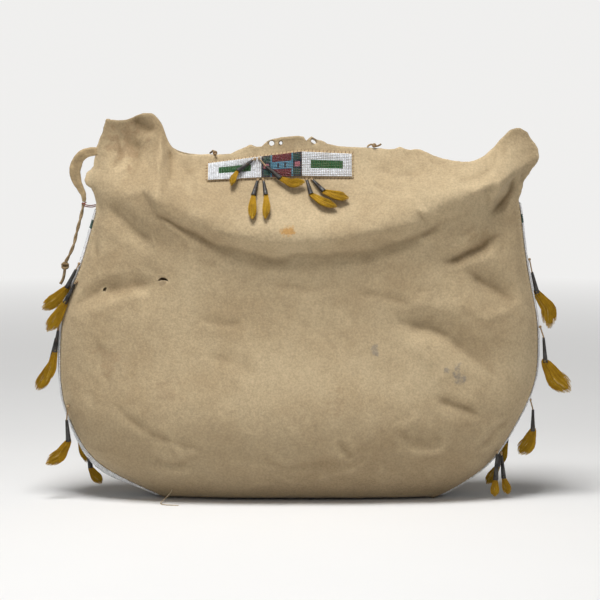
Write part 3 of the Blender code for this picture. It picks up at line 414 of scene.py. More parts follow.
# The worn front rim: place across and up in millimetres, and how far it is from its plain line.
WORN_RIM = (
    (-142, 401, 1.0), (-122, 397, 2.0), (-106, 399, 2.5), (-96, 395, 0.5), (-82, 395, -0.9),
    (-70, 400, 2.5), (-56, 404, 4.0), (-52.8, 400.5, -0.9), (-43.5, 405, -3.5), (-38, 411, 0.1),
    (-33, 413, 1.0), (-15, 416, 0.6), (5, 418, 1.4), (7, 413, -3.3), (14, 413.5, 5.0),
    (17, 410, 2.0), (25, 408, 2.8), (38, 405, 1.4), (61, 403.5, 2.0), (76, 403.5, 2.5),
    (96, 401, 1.2), (105, 400.5, -0.2), (114, 404, 2.7), (123.5, 401, -1.9), (134, 404, 1.0),
    (148, 395.5, 0.8), (169, 389, 0.4), (204, 390, 1.0), (231, 416, 1.6), (254, 426, 1.0),
)
# The pale tab of the left ear's edge: height, and how far it stands out.
EAR_TAB = ((0.348, 0.0), (0.357, 0.0015), (0.360, 0.0075), (0.365, 0.0095), (0.372, 0.0075),
           (0.377, 0.005), (0.379, 0.0))
# Small folds of the front: path in millimetres across and up, height (a groove is negative) and
# half width.
FRONT_CREASES = (
    (((-172, 336), (-144, 320), (-115, 304), (-86, 292), (-58, 285), (-29, 281), (0, 281),
      (58, 285), (86, 292), (115, 299), (150, 313), (172, 324), (207, 339)), -3.2, 8),
    (((-222, 342), (-207, 331), (-190, 313), (-172, 302), (-150, 293)), -2.0, 8),
    (((-172, 336), (-144, 320), (-115, 303), (-92, 295)), -1.6, 4),
    (((-232, 328), (-233, 299), (-230, 274)), -1.8, 4),
    (((-156, 252), (-184, 248), (-224, 242), (-257, 224), (-268, 218)), -1.9, 7),
    (((-165, 238), (-200, 232), (-240, 216)), 1.0, 9),
    (((247, 376), (240, 357), (229, 342), (212, 326)), -4.6, 6),
    (((226, 372), (222, 356), (214, 344)), 1.6, 4),
    (((228, 309), (212, 297), (196, 287), (178, 280), (158, 273)), -3.8, 6),
    (((214, 306), (196, 296), (178, 289)), 1.6, 5),
    (((182, 266), (203, 254), (226, 241), (252, 226)), -4.4, 12),
    (((96, 211), (126, 205), (152, 199), (176, 186), (200, 168), (228, 142)), -4.4, 12),
    (((112, 228), (140, 226), (168, 218), (190, 206)), 1.0, 10),
    (((148, 124), (167, 116), (184, 109), (208, 98)), -2.8, 7),
    (((-215, 120), (-190, 96), (-160, 78), (-140, 70)), -1.6, 5),
    (((-180, 62), (-158, 52), (-135, 46), (-118, 49)), -2.2, 6),
    (((-150, 70), (-128, 62), (-112, 66)), 1.6, 4),
    (((-60, 60), (-20, 48), (30, 46), (70, 55)), -1.2, 6),
    (((100, 88), (125, 78), (150, 76), (172, 82)), -2.2, 8),
    (((118, 66), (140, 60), (165, 64)), 1.6, 4),
    (((200, 60), (222, 78), (240, 100)), -1.8, 5),
    (((40, 76), (52, 66), (60, 52)), -1.4, 4),
    (((-235, 190), (-222, 160), (-214, 128)), -1.4, 7),
    (((-110, 178), (-70, 160), (-40, 150)), -1.0, 7),
    (((60, 240), (96, 236), (130, 226)), -1.0, 5),
    (((-40, 250), (10, 246), (50, 250)), -0.8, 6),
    (((-120, 214), (-90, 206), (-58, 210)), -0.9, 5),
    (((170, 360), (196, 372), (226, 384)), -2.8, 5),
    (((186, 352), (205, 358), (232, 372)), 1.8, 5),
    (((-205, 352), (-190, 372), (-185, 402), (-188, 425)), -2.2, 9),
    (((-188, 434), (-178, 425), (-164, 416)), -2.4, 6),
    (((-158, 345), (-160, 380), (-161, 415)), 2.2, 5),
    (((-148, 362), (-146, 385), (-150, 402)), -2.2, 5),
    (((-214, 372), (-205, 392), (-206, 412)), -1.8, 4),
    (((80, 380), (110, 372), (140, 374)), -1.4, 6),
    (((-128, 384), (-118, 368), (-114, 350)), -1.2, 6),
    (((72, 366), (100, 356), (132, 356)), -0.9, 5),
)
BACK_CREASES = (
    (((-200, 330), (-120, 300), (-20, 290), (90, 298), (200, 325)), -2.4, 8),
    (((-230, 240), (-160, 226), (-90, 232)), -1.8, 7),
    (((225, 210), (170, 190), (110, 196)), -1.8, 7),
    (((-60, 120), (20, 104), (100, 112)), -1.2, 8),
    (((-180, 60), (-120, 44), (-60, 52)), -1.6, 6),
    (((70, 50), (130, 42), (185, 62)), -1.6, 6),
    (((-205, 350), (-190, 385), (-188, 420)), -2.4, 8),
    (((215, 345), (210, 375), (228, 400)), -2.4, 8),
)
# Strip of beads: the hide lies flat under it.
UNDER_STRIP = (-0.112, 0.066, 0.362, 0.402)


def nearest_on(path, spots):
    """Distance of each XZ place to a path in metres, and the share of the path nearest to it."""
    line = np.array([(p.x, p.z) for p in line_through([(x, 0, z) for x, z in path], 6)])
    best = np.full(len(spots), 1e9)
    share = np.zeros(len(spots))
    for i, (a, b) in enumerate(zip(line, line[1:])):
        run = b - a
        part = np.clip(((spots - a) @ run) / max(run @ run, 1e-12), 0, 1)
        gap = np.linalg.norm(spots - (a + part[:, None] * run), axis=1)
        closer = gap < best
        best[closer] = gap[closer]
        share[closer] = (i + part[closer]) / (len(line) - 1)
    return best, share


def crease_heights(spots, creases):
    """Folds with pointed ends: each groove has a soft shoulder on both sides."""
    wander = np.array([(noise.noise(Vector((x * 34, 1.0, z * 34))),
                        noise.noise(Vector((x * 34, 9.0, z * 34)))) for x, z in spots])
    total = np.zeros(len(spots))
    for path, height, half_width in creases:
        path = np.array(path) / 1000
        near = np.all((spots > path.min(axis=0) - 0.03) & (spots < path.max(axis=0) + 0.03), axis=1)
        gaps, share = nearest_on(path, spots[near] + wander[near] * 0.005)
        uneven = 1 + 0.35 * wander[near, 0]
        taper = smooth_step(share, 0, 0.3) * (1 - smooth_step(share, 0.7, 1))
        across = gaps / (half_width / 1000 * uneven * (0.45 + 0.55 * taper))
        shape = np.exp(-across**1.6) - 0.4 * np.exp(-(((across - 2.1) / 1.1) ** 2))
        total[near] += height / 1000 * taper * shape
    return total


def smooth_step(values, low, high):
    share = np.clip((values - low) / (high - low), 0, 1)
    return share * share * (3 - 2 * share)


def rounded_copy(name, node, levels):
    """A copy of a plain solid with its triangles joined to quads and rounded by subdivision."""
    solid = bmesh.new()
    solid.from_mesh(frame["nodes"][node].data)
    bmesh.ops.remove_doubles(solid, verts=solid.verts, dist=0.00002)
    bmesh.ops.join_triangles(solid, faces=solid.faces, angle_face_threshold=math.radians(40),
                             angle_shape_threshold=math.radians(70))
    crease = solid.edges.layers.float.new("crease_edge")
    for edge in solid.edges:
        if len(edge.link_faces) == 2 and edge.calc_face_angle(0) > math.radians(62):
            edge[crease] = 0.7
    mesh = bpy.data.meshes.new(name)
    solid.to_mesh(mesh)
    solid.free()
    mesh.materials.clear()
    holder = bpy.data.objects.new(name + "_holder", mesh)
    bpy.context.collection.objects.link(holder)
    rounding = holder.modifiers.new("rounding", "SUBSURF")
    rounding.levels = levels
    rounding.render_levels = levels
    graph = bpy.context.evaluated_depsgraph_get()
    shaped = bpy.data.meshes.new_from_object(holder.evaluated_get(graph))
    shaped.name = name
    bpy.data.objects.remove(holder, do_unlink=True)
    return shaped


hide_mesh = rounded_copy("hide_bag", "hide_body", 2)
fine = bmesh.new()
fine.from_mesh(hide_mesh)
fine.faces.ensure_lookup_table()
front_faces = [f for f in fine.faces if f.normal.y < -0.15 and f.calc_center_median().z > 0.01]
front_edges = list({e for f in front_faces for e in f.edges})
bmesh.ops.subdivide_edges(fine, edges=front_edges, cuts=1, smooth=0.6, use_grid_fill=True)
fine.to_mesh(hide_mesh)
fine.free()

places = np.zeros(len(hide_mesh.vertices) * 3, np.float32)
hide_mesh.vertices.foreach_get("co", places)
places = places.reshape(-1, 3).astype(float)
spots = places[:, [0, 2]]
to_seam = np.minimum(nearest_on(LEFT_SEAM, spots)[0], nearest_on(RIGHT_SEAM, spots)[0])
to_ear = np.minimum(nearest_on(LEFT_EAR, spots)[0], nearest_on(RIGHT_EAR, spots)[0])
hold = smooth_step(to_seam, 0.001, 0.016) * smooth_step(places[:, 2], 0.003, 0.03)
under_strip = (smooth_step(spots[:, 0], UNDER_STRIP[0] - 0.008, UNDER_STRIP[0])
               * (1 - smooth_step(spots[:, 0], UNDER_STRIP[1], UNDER_STRIP[1] + 0.008))
               * smooth_step(spots[:, 1], UNDER_STRIP[2] - 0.008, UNDER_STRIP[2])
               * (1 - smooth_step(spots[:, 1], UNDER_STRIP[3], UNDER_STRIP[3] + 0.006)))
hold *= 1 - under_strip
wrinkles = np.zeros(len(places))
for i, (x, y, z) in enumerate(places):
    lean = noise.noise(Vector((x * 9, 3.7 if y < 0 else 8.1, z * 9)))
    ridge = noise.ridged_multi_fractal(
        Vector((x * 16 + lean * 1.6, y * 6, z * 26 - lean * 2.2)), 1.0, 2.1, 3, 0.9, 1.8)
    wrinkles[i] = (ridge - 0.9) * 0.0009 + 0.0011 * lean
low_belly = 0.55 + 0.75 * np.exp(-((places[:, 2] / 0.10) ** 2))
front = places[:, 1] < 0
push = np.zeros(len(places))
push[front] = crease_heights(spots[front], FRONT_CREASES)
push[~front] = crease_heights(spots[~front], BACK_CREASES)
push = (push + wrinkles * low_belly) * hold
places[:, 1] += np.where(front, -push, push)
ragged = np.exp(-((to_ear / 0.006) ** 2))
for i in np.nonzero((ragged > 0.05) | (places[:, 2] > 0.37))[0]:
    x, y, z = places[i]
    torn = noise.fractal(Vector((x * 130, 2.0, z * 130)), 0.8, 2.2, 3)
    places[i, 0] += torn * 0.0016 * ragged[i] * (1 if x < 0 else -1)
    if z > 0.385:
        places[i, 2] += 0.0009 * noise.noise(Vector((x * 170, 5.0, 1.0)))
# The front rim is worn into notches and waves, and a pale tab stands out of the left ear.
worn_x, worn_z, worn_by = np.array(WORN_RIM).T / 1000
plain_rim = np.interp(spots[:, 0], worn_x, worn_z - worn_by)
at_rim = smooth_step(places[:, 2], plain_rim - 0.016, plain_rim - 0.001) * front
at_rim *= smooth_step(places[:, 0], -0.150, -0.135)
places[:, 2] += np.interp(places[:, 0], worn_x, worn_by) * at_rim
tab_z, tab_out = zip(*EAR_TAB)
tab = np.interp(spots[:, 1], tab_z, tab_out) * np.exp(-((to_ear / 0.007) ** 2))
places[:, 0] -= tab * (places[:, 0] < 0) * front
hide_mesh.vertices.foreach_set("co", places.astype(np.float32).ravel())
hide_mesh.update()

# Holes that are worn and torn through the front: middle across and up, half sizes, turn (mm, deg).
HOLES = ((-32.2, 407.7, 2.9, 2.7, 0), (-21.7, 408.1, 1.7, 1.9, 0), (15.4, 409.4, 3.2, 1.5, 35),
         (-154.2, 253.6, 5.9, 1.5, 0), (-221.7, 243.0, 1.1, 2.6, 32))
punch = bmesh.new()
for middle_x, middle_z, half_x, half_z, turn in HOLES:
    made = bmesh.ops.create_cone(punch, cap_ends=True, segments=20, radius1=0.001, radius2=0.001,
                                 depth=0.119)
    shape = (Matrix.Translation((middle_x / 1000, -0.0605, middle_z / 1000))
             @ Matrix.Rotation(math.radians(turn), 4, "Y") @ Matrix.Diagonal((half_x, 1, half_z, 1))
             @ Matrix.Rotation(math.pi / 2, 4, "X"))
    bmesh.ops.transform(punch, matrix=shape, verts=made["verts"])
    for vert in made["verts"]:
        arch = 0.0026 * (1 - ((vert.co.x * 1000 - middle_x) / half_x) ** 2) if half_x > 5 else 0.0
        wander = noise.noise(vert.co * 400) * 0.0007
        vert.co.x += wander
        vert.co.z += arch + noise.noise(vert.co * 500 + Vector((7, 7, 7))) * 0.0005
punch_mesh = bpy.data.meshes.new("punch")
punch.to_mesh(punch_mesh)
punch.free()
punch_tool = bpy.data.objects.new("punch", punch_mesh)
bpy.context.collection.objects.link(punch_tool)
holder = bpy.data.objects.new("hide_holder", hide_mesh)
bpy.context.collection.objects.link(holder)
cut = holder.modifiers.new("holes", "BOOLEAN")
cut.operation = "DIFFERENCE"
cut.solver = "EXACT"
cut.object = punch_tool
graph = bpy.context.evaluated_depsgraph_get()
hide_mesh = bpy.data.meshes.new_from_object(holder.evaluated_get(graph))
hide_mesh.name = "hide_bag"
bpy.data.objects.remove(holder, do_unlink=True)
bpy.data.objects.remove(punch_tool, do_unlink=True)
bpy.data.meshes.remove(punch_mesh)
hide_mesh.shade_smooth()


def mark_shade_and_wear(mesh, reach):
    """Record on each point how far the surface dips or bulges: hollows get painted shade with dirt,
    ridges a painted highlight with wear.
    """
    count = len(mesh.vertices)
    at = np.zeros(count * 3, np.float32)
    out = np.zeros(count * 3, np.float32)
    ends = np.zeros(len(mesh.edges) * 2, np.int32)
    mesh.vertices.foreach_get("co", at)
    mesh.vertices.foreach_get("normal", out)
    mesh.edges.foreach_get("vertices", ends)
    at = at.reshape(-1, 3).astype(float)
    out = out.reshape(-1, 3)
    a, b = ends.reshape(-1, 2).T
    both = np.concatenate((a, b))
    other = np.concatenate((b, a))
    near = np.maximum(np.bincount(both, minlength=count), 1)
    step = at[other] - at[both]
    length = np.bincount(both, np.linalg.norm(step, axis=1), count) / near
    rise = np.einsum("ij,ij->i", step, out[both])
    hollow = np.bincount(both, rise, count) / near / np.maximum(length, 1e-6)
    for _ in range(reach):
        hollow = 0.5 * hollow + 0.5 * np.bincount(both, hollow[other], count) / near
    kept = mesh.attributes.new("hollow", "FLOAT", "POINT")
    kept.data.foreach_set("value", np.clip(hollow * 6, -1, 1).astype(np.float32))


mark_shade_and_wear(hide_mesh, 5)


def hide_finish(name, cream, tan, grime_and_shade, stains_and_hole_shade=()):
    """Napped brain-tanned hide: cloudy buff, dirt with painted shade in the hollows, wear with a
    painted highlight on the ridges, darker ears and base, stain marks, painted shade round holes.
    """
    finish, nodes, links, shader, place = new_finish(name, 0.88, 0.25)
    shader.inputs["Sheen Weight"].default_value = 0.12
    shader.inputs["Sheen Roughness"].default_value = 0.5
    clouds = noise_shade(nodes, links, place, 9, 7, 0.0, 1.0, 0.38, 0.62)
    colour = tint(nodes, links, clouds, cream, tan)
    smudges = noise_shade(nodes, links, place, 30, 9, 0.0, 0.30, 0.52, 0.72)
    colour = tint(nodes, links, smudges, colour, grime_and_shade)
    pale = noise_shade(nodes, links, place, 30, 9, 0.0, 0.55, 0.50, 0.68)
    colour = tint(nodes, links, pale, colour, tuple(min(1.0, c * 1.18) for c in cream))
    mottle = noise_shade(nodes, links, place, 100, 6, 0.0, 0.18, 0.50, 0.70)
    colour = tint(nodes, links, mottle, colour, tuple(c * 0.62 for c in tan))
    apart = nodes.new("ShaderNodeSeparateXYZ")
    links.new(place, apart.inputs["Vector"])
    # The hide is made darker towards the bottom.
    darker_low = spread(nodes, links, apart.outputs["Z"], 0.01, 0.12, 0.6, 0.0)
    colour = tint(nodes, links, darker_low, colour, tuple(c * 0.5 for c in tan))
    hollow_shade_and_wear = nodes.new("ShaderNodeAttribute")
    hollow_shade_and_wear.attribute_name = "hollow"
    # Hollows take the grime colour as painted shade with dirt, ridges a paler cream as a painted
    # highlight with wear.
    for low, high, most, over in ((0.03, 0.5, 0.75, grime_and_shade),
                                  (-0.03, -0.5, 0.5, tuple(min(1.0, c * 1.3) for c in cream))):
        reach = spread(nodes, links, hollow_shade_and_wear.outputs["Fac"], low, high, 0.0, most)
        colour = tint(nodes, links, reach, colour, over)
    for low, high, most in ((0.40, 0.445, 0.55), (0.035, 0.0, 0.45)):
        reach = spread(nodes, links, apart.outputs["Z"], low, high, 0.0, most)
        colour = tint(nodes, links, reach, colour, grime_and_shade)
    flattened = nodes.new("ShaderNodeVectorMath")
    flattened.operation = "MULTIPLY"
    flattened.inputs[1].default_value = (1, 0.3, 1)
    links.new(place, flattened.inputs[0])
    # Each mark is a stain, except the dark rings at the holes, which are painted shade.
    for spot, size, ragged_by, spot_colour, strength in stains_and_hole_shade:
        away = nodes.new("ShaderNodeVectorMath")
        away.operation = "DISTANCE"
        away.inputs[1].default_value = (spot[0], spot[1] * 0.3, spot[2])
        links.new(flattened.outputs["Vector"], away.inputs[0])
        edge = noise_shade(nodes, links, place, 90, 4, -size * ragged_by, size * ragged_by)
        sum_up = nodes.new("ShaderNodeMath")
        links.new(away.outputs["Value"], sum_up.inputs[0])
        links.new(edge, sum_up.inputs[1])
        fade = spread(nodes, links, sum_up.outputs[0], size, size * 0.55, 0.0, strength)
        colour = tint(nodes, links, fade, colour, spot_colour)
    specks = noise_shade(nodes, links, place, 420, 3, 0.86, 1.08)
    links.new(shade_by(nodes, links, colour, specks), shader.inputs["Base Color"])
    nap = noise_shade(nodes, links, place, 700, 5, 0.0, 0.35)
    grain = noise_shade(nodes, links, place, 110, 7, 0.0, 1.0, 0.3, 0.7)
    height = nodes.new("ShaderNodeMath")
    links.new(nap, height.inputs[0])
    links.new(grain, height.inputs[1])
    roughen(nodes, links, shader, height.outputs[0], 0.45, 0.0009)
    return finish


CREAM = (0.53, 0.415, 0.255)
TAN = (0.43, 0.32, 0.185)
# The grime colour is also laid into the hollows of the hide as painted shade.
GRIME_AND_SHADE = (0.20, 0.135, 0.065)
# Each stain: place, size, how ragged its edge is, colour and strength.
STAINS_AND_HOLE_SHADE = (
    ((-0.0112, -0.070, 0.3118), 0.0095, 0.55, (0.50, 0.27, 0.08), 0.85),
    ((0.1790, -0.058, 0.1490), 0.009, 0.6, (0.20, 0.19, 0.18), 0.60),
    ((0.1652, -0.060, 0.1543), 0.006, 0.6, (0.20, 0.19, 0.18), 0.50),
    ((0.0839, -0.072, 0.1760), 0.006, 0.6, (0.20, 0.19, 0.18), 0.50),
    # The next five marks are painted shade: they darken the edges of the holes and tears so that
    # these look dark.
    ((-0.2217, -0.038, 0.2430), 0.0026, 0.5, (0.03, 0.02, 0.012), 0.9),
    ((-0.1542, -0.052, 0.2545), 0.0062, 0.3, (0.16, 0.10, 0.055), 0.4),
    ((-0.0322, -0.015, 0.4077), 0.0047, 0.3, (0.07, 0.045, 0.025), 0.95),
    ((-0.0217, -0.015, 0.4081), 0.0035, 0.3, (0.07, 0.045, 0.025), 0.95),
    ((0.0154, -0.014, 0.4100), 0.0045, 0.4, (0.12, 0.08, 0.045), 0.8),
    ((-0.200, -0.030, 0.405), 0.022, 0.7, (0.30, 0.19, 0.10), 0.45),
    ((0.045, -0.078, 0.120), 0.012, 0.8, (0.36, 0.26, 0.15), 0.4),
    ((-0.150, -0.060, 0.130), 0.015, 0.8, (0.34, 0.24, 0.14), 0.3),
    ((-0.215, -0.045, 0.165), 0.014, 0.9, (0.40, 0.27, 0.15), 0.35),
    ((0.205, -0.045, 0.300), 0.012, 0.9, (0.36, 0.25, 0.13), 0.35),
)
hide_skin = hide_finish("buff_hide", CREAM, TAN, GRIME_AND_SHADE, STAINS_AND_HOLE_SHADE)
hide_bag = add_piece("hide_bag", hide_mesh, hide_skin, "bag", "hide", ["hide_body"])

# The gussets. Each side of the bag is closed by one long narrow piece of the same hide, sewn
# between the front and back edges from the base up to the collar.
for gusset_node in ("left_gusset", "right_gusset"):
    gusset_mesh = rounded_copy(gusset_node + "_hide", gusset_node, 2)
    gusset_mesh.shade_smooth()
    mark_shade_and_wear(gusset_mesh, 3)
    add_piece(gusset_node + "_hide", gusset_mesh, hide_skin, "bag", "hide", [gusset_node])

# The beads on the gussets. Short rows of seven seed beads are sewn across three lanes, and each lane
# arches up between its stitches. The outer lanes are white, the middle one has long green bars.
BEAD_PITCH = 0.0016
ROW_PITCH = 0.0020
BEADS_PER_LANE = 7
LANE_PITCH = 0.0120
GUSSET_CLEAR = (0.012, 0.006)
GUSSET_BEAD = 0.00165
GREEN_LENGTH = 0.058
BAR_REPEAT = 0.084
COLOURS = {
    "white": (0.84, 0.85, 0.87),
    "green": (0.028, 0.13, 0.035),
    "dark_green": (0.012, 0.065, 0.05),
    "navy": (0.010, 0.014, 0.035),
    "red": (0.16, 0.012, 0.022),
    "light_blue": (0.10, 0.27, 0.37),
    "pink": (0.50, 0.17, 0.21),
}
SLOTS = {"white": "white_beads", "green": "green_beads", "dark_green": "green_beads",
         "navy": "navy_beads", "red": "navy_beads", "light_blue": "blue_beads",
         "pink": "blue_beads"}


def tree_of(*pieces):
    """A search tree for the finished surface of some pieces."""
    shape = bmesh.new()
    for piece in pieces:
        shape.from_mesh(piece.data)
    tree = BVHTree.FromBMesh(shape)
    shape.free()
    return tree


def bead_finish(name, colour):
    """Old glass beads: a little rubbed and dusty, each bead a slightly different shade."""
    finish, nodes, links, shader, place = new_finish(name)
    shader.inputs["Coat Weight"].default_value = 0.35
    shader.inputs["Coat Roughness"].default_value = 0.15
    tone = nodes.new("ShaderNodeAttribute")
    tone.attribute_name = "tone"
    shaded = shade_by(nodes, links, colour, tone.outputs["Fac"])
    dust = noise_shade(nodes, links, place, 60, 5, 0.0, 0.22, 0.5, 0.75)
    dusty = tint(nodes, links, dust, shaded, (0.30, 0.22, 0.13))
    links.new(dusty, shader.inputs["Base Color"])
    rough = noise_shade(nodes, links, place, 300, 3, 0.22, 0.5)
    links.new(rough, shader.inputs["Roughness"])
    return finish


bead_finishes = {name: bead_finish(name + "_glass", colour) for name, colour in COLOURS.items()}


def many_copies(pattern, count):
    """One mesh with many copies of a small one: the copies are doubled until there are enough."""
    block = pattern.copy()
    whole = bmesh.new()
    while count:
        if count % 2:
            whole.from_mesh(block)
        count //= 2
        if count:
            twice = bmesh.new()
            twice.from_mesh(block)
            twice.from_mesh(block)
            twice.to_mesh(block)
            twice.free()
    mesh = bpy.data.meshes.new("copies")
    whole.to_mesh(mesh)
    whole.free()
    bpy.data.meshes.remove(block)
    return mesh


def bead_pieces(name, beads, sides, rings):
    """One piece for each colour, from beads given as colour, place, hole way, outward and size."""
    ball = bmesh.new()
    bmesh.ops.create_uvsphere(ball, u_segments=sides, v_segments=rings, radius=0.5)
    pattern = bpy.data.meshes.new("bead_pattern")
    ball.to_mesh(pattern)
    ball.free()
    shape = np.array([tuple(v.co) for v in pattern.vertices])
    for colour in sorted({bead[0] for bead in beads}):
        turns = []
        tones = []
        seats = []
        for _, place, along_hole, outward, size in (b for b in beads if b[0] == colour):
            side_way = along_hole.cross(outward).normalized()
            turn = Matrix((side_way, along_hole.cross(side_way), along_hole)).transposed()
            uneven = noise.cell(place * 1900)
            scale = Matrix.Diagonal((size * 1.42, size * 1.30, size * (1.06 + 0.06 * uneven)))
            turns.append(np.array(turn @ scale))
            seats.append(tuple(place))
            tones.append(0.96 + 0.12 * noise.cell(place * 2300 + Vector((5, 5, 5))))
        mesh = many_copies(pattern, len(seats))
        mesh.name = name + "_" + colour
        points = np.einsum("nij,vj->nvi", np.array(turns), shape) + np.array(seats)[:, None, :]
        mesh.vertices.foreach_set("co", points.astype(np.float32).ravel())
        mesh.update()
        mesh.shade_smooth()
        tone = mesh.attributes.new("tone", "FLOAT", "POINT")
        tone.data.foreach_set("value", np.repeat(tones, len(shape)).astype(np.float32))
        yield add_piece(name + "_" + colour, mesh, bead_finishes[colour], "bag", SLOTS[colour])
    bpy.data.meshes.remove(pattern)


def seam_walk(seam, pitch):
    """Places every so far along a seam, each with the direction up it and away from the bag."""
    line = line_through([(x, 0, z) for x, z in seam], 12)
    side = -1 if line[-1].x < 0 else 1
    found = []
    reach = 0.0
    for a, b in zip(line, line[1:]):
        run = (b - a).normalized()
        outward = Vector((side * run.z, 0, -side * run.x))
        while len(found) * pitch < reach + (b - a).length:
            found.append((a + run * (len(found) * pitch - reach), run, outward))
        reach += (b - a).length
    return found


def gusset_colour(lane, reach, whole):
    """Colour of a row: a lane, its distance up the seam and the whole length of the seam."""
    along_bar = (reach - 0.03) % BAR_REPEAT
    if lane == 1:
        if along_bar < GREEN_LENGTH:
            return "dark_green"
        if 0.009 < along_bar - GREEN_LENGTH < 0.013:
            return "red"
        return "white"
    if 0.018 < whole - reach < 0.027:
        return "dark_green"
    return "white"


for side_name, seam in (("left", LEFT_SEAM), ("right", RIGHT_SEAM)):
    gusset_tree = tree_of(bpy.data.objects[side_name + "_gusset_hide"])
    rows = seam_walk(seam, ROW_PITCH)
    whole = len(rows) * ROW_PITCH
    beads = []
    for i, (seat, run, outward) in enumerate(rows):
        reach = i * ROW_PITCH
        if reach < GUSSET_CLEAR[0] or reach > whole - GUSSET_CLEAR[1]:
            continue
        for lane in range(3):
            colour = gusset_colour(lane, reach, whole)
            for k in range(BEADS_PER_LANE):
                share = (k + 0.5) / BEADS_PER_LANE * 2 - 1
                across = (lane - 1) * LANE_PITCH + share * BEADS_PER_LANE * BEAD_PITCH / 2
                start = seat + outward * 0.04 + Vector((0, across, 0))
                hit, normal, _, _ = gusset_tree.ray_cast(start, -outward, 0.09)
                if hit is None:
                    continue
                lift = 0.0010 + 0.0006 * (1 - share**2) + 0.0002 * noise.noise(hit * 260)
                place = hit + outward * lift + run * 0.0004 * noise.noise(hit * 140)
                beads.append((colour, place, Vector((0, 1, 0)), outward, GUSSET_BEAD))
    names = [side_name + "_gusset_beadwork"]
    for piece in bead_pieces(side_name + "_gusset_beads", beads, 6, 4):
        if names:
            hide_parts(names.pop())

# The sewing along the seams. Two-ply sinew is whipped over the edges of hide and gusset, from the
# base up to the collar.
STITCH_PITCH = 0.0052
STITCH_RADIUS = 0.00042
STITCH_DEPTH = 0.0202
seam_tree = tree_of(bpy.data.objects["left_gusset_hide"], bpy.data.objects["right_gusset_hide"],
                    hide_bag)


def stitch_lines(seam, level):
    """Short slanted stitches across a seam. level is the seam's depth from the bag's middle."""
    lines = []
    for seat, run, outward in seam_walk(seam, STITCH_PITCH)[3:-1]:
        line = []
        for share in (-1, -0.6, 0, 0.6, 1):
            start = seat + outward * 0.05 + Vector((0, level + share * 0.0024, 0))
            start += run * 0.0011 * share
            hit = seam_tree.ray_cast(start, -outward, 0.1)[0]
            if hit is not None:
                line.append(hit + outward * (0.0003 - 0.0009 * share**2))
        if len(line) == 5:
            lines.append(line)
    return lines


whip_lines = []
for seam in (LEFT_SEAM, RIGHT_SEAM):
    whip_lines += stitch_lines(seam, -STITCH_DEPTH) + stitch_lines(seam, STITCH_DEPTH)
whip_mesh = thong_mesh("seam_stitches", whip_lines, STITCH_RADIUS, sides=1)
add_piece("seam_stitches", whip_mesh, sinew_finish, "bag", "sinew")

# The beaded strip. A narrow piece of hide is stitched below the rim and carries three lanes of
# beads, in rows of five: white fields with a green bar, and a dark block in the middle.
STRIP_LEFT = -0.1057
# Its lower and upper edges: share of its length, and both heights.
STRIP_EDGES = ((0.0, 0.3652, 0.3856), (0.37, 0.3676, 0.3940), (0.65, 0.3688, 0.4000),
               (1.0, 0.3684, 0.3972))
STRIP_LENGTH = 0.166
STRIP_HEIGHT = 0.028
STRIP_MARGIN = 0.0016
LANE_HEIGHT = (STRIP_HEIGHT - 2 * STRIP_MARGIN) / 3
FIELDS = ((0.0016, 0.0620), (0.1080, 0.1644))
BLOCK = (0.0623, 0.1077)
GREEN_HALF = 0.0185
STRIP_BEADS = 5
STRIP_BEAD = 0.00162

backing_mesh = rounded_copy("strip_hide", "strip_backing", 2)
backing_mesh.shade_smooth()
mark_shade_and_wear(backing_mesh, 2)
backing_skin = hide_finish("strip_hide", (0.46, 0.35, 0.21), (0.36, 0.25, 0.13), GRIME_AND_SHADE)
backing = add_piece("strip_hide", backing_mesh, backing_skin, "bag", "hide", ["strip_backing"])
strip_tree = tree_of(backing)


def strip_level(along_strip, up_strip):
    """Height of a point of the strip, from distances along and up it."""
    marks, lows, highs = zip(*STRIP_EDGES)
    low = float(np.interp(along_strip / STRIP_LENGTH, marks, lows))
    high = float(np.interp(along_strip / STRIP_LENGTH, marks, highs))
    return low + (high - low) * up_strip / STRIP_HEIGHT


def strip_spot(along_strip, up_strip):
    """Place on the strip's face, from distances along and up it."""
    start = Vector((STRIP_LEFT + along_strip, -0.5, strip_level(along_strip, up_strip)))
    return strip_tree.ray_cast(start, Vector((0, 1, 0)))[:2]


def block_colour(column, row, lane):
    """Colour in the dark middle block, from its column (23), its row in the lane and its lane."""
    edge = min(column, 22 - column)
    if lane == 1:
        if edge > 4:
            return "navy" if 0 < row < 4 and column in (9, 13) else "light_blue"
        return "pink" if edge in (1, 2, 3) and 0 < row < 4 else "navy"
    if edge == 5:
        return "light_blue"
    if edge > 5:
        return "red"
    return "dark_green" if edge in (1, 2, 3, 4) and row != (0 if lane == 0 else 4) else "navy"


strip_beads = []
spans = [(span, round((span[1] - span[0]) / ROW_PITCH)) for span in (FIELDS[0], BLOCK, FIELDS[1])]
for which, (span, count) in enumerate(spans):
    middle = (span[0] + span[1]) / 2
    for column in range(count):
        reach = span[0] + (column + 0.5) / count * (span[1] - span[0])
        for lane in range(3):
            for row in range(STRIP_BEADS):
                share = (row + 0.5) / STRIP_BEADS * 2 - 1
                rise = STRIP_MARGIN + (lane + 0.5 + share / 2) * LANE_HEIGHT
                hit, normal = strip_spot(reach + 0.0002 * noise.noise(Vector((column, row, lane))),
                                         rise)
                if hit is None:
                    continue
                if which == 1:
                    colour = block_colour(column, row, lane)
                else:
                    green = lane == 1 and abs(reach - middle) < GREEN_HALF
                    colour = "green" if green else "white"
                place = hit + normal * (0.0009 + 0.0006 * (1 - share**2))
                strip_beads.append((colour, place, normal.cross(Vector((1, 0, 0))).normalized(),
                                    normal, STRIP_BEAD))
strip_nodes = {
    "white": ["strip_white_left", "strip_white_right"],
    "green": ["strip_green_left", "strip_green_right"],
    "navy": ["strip_centre"],
    "light_blue": ["strip_centre_band"],
}
for piece in bead_pieces("strip_beads", strip_beads, 8, 5):
    stands_for = strip_nodes.get(piece.name.replace("strip_beads_", ""), [])
    if stands_for:
        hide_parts(*stands_for)

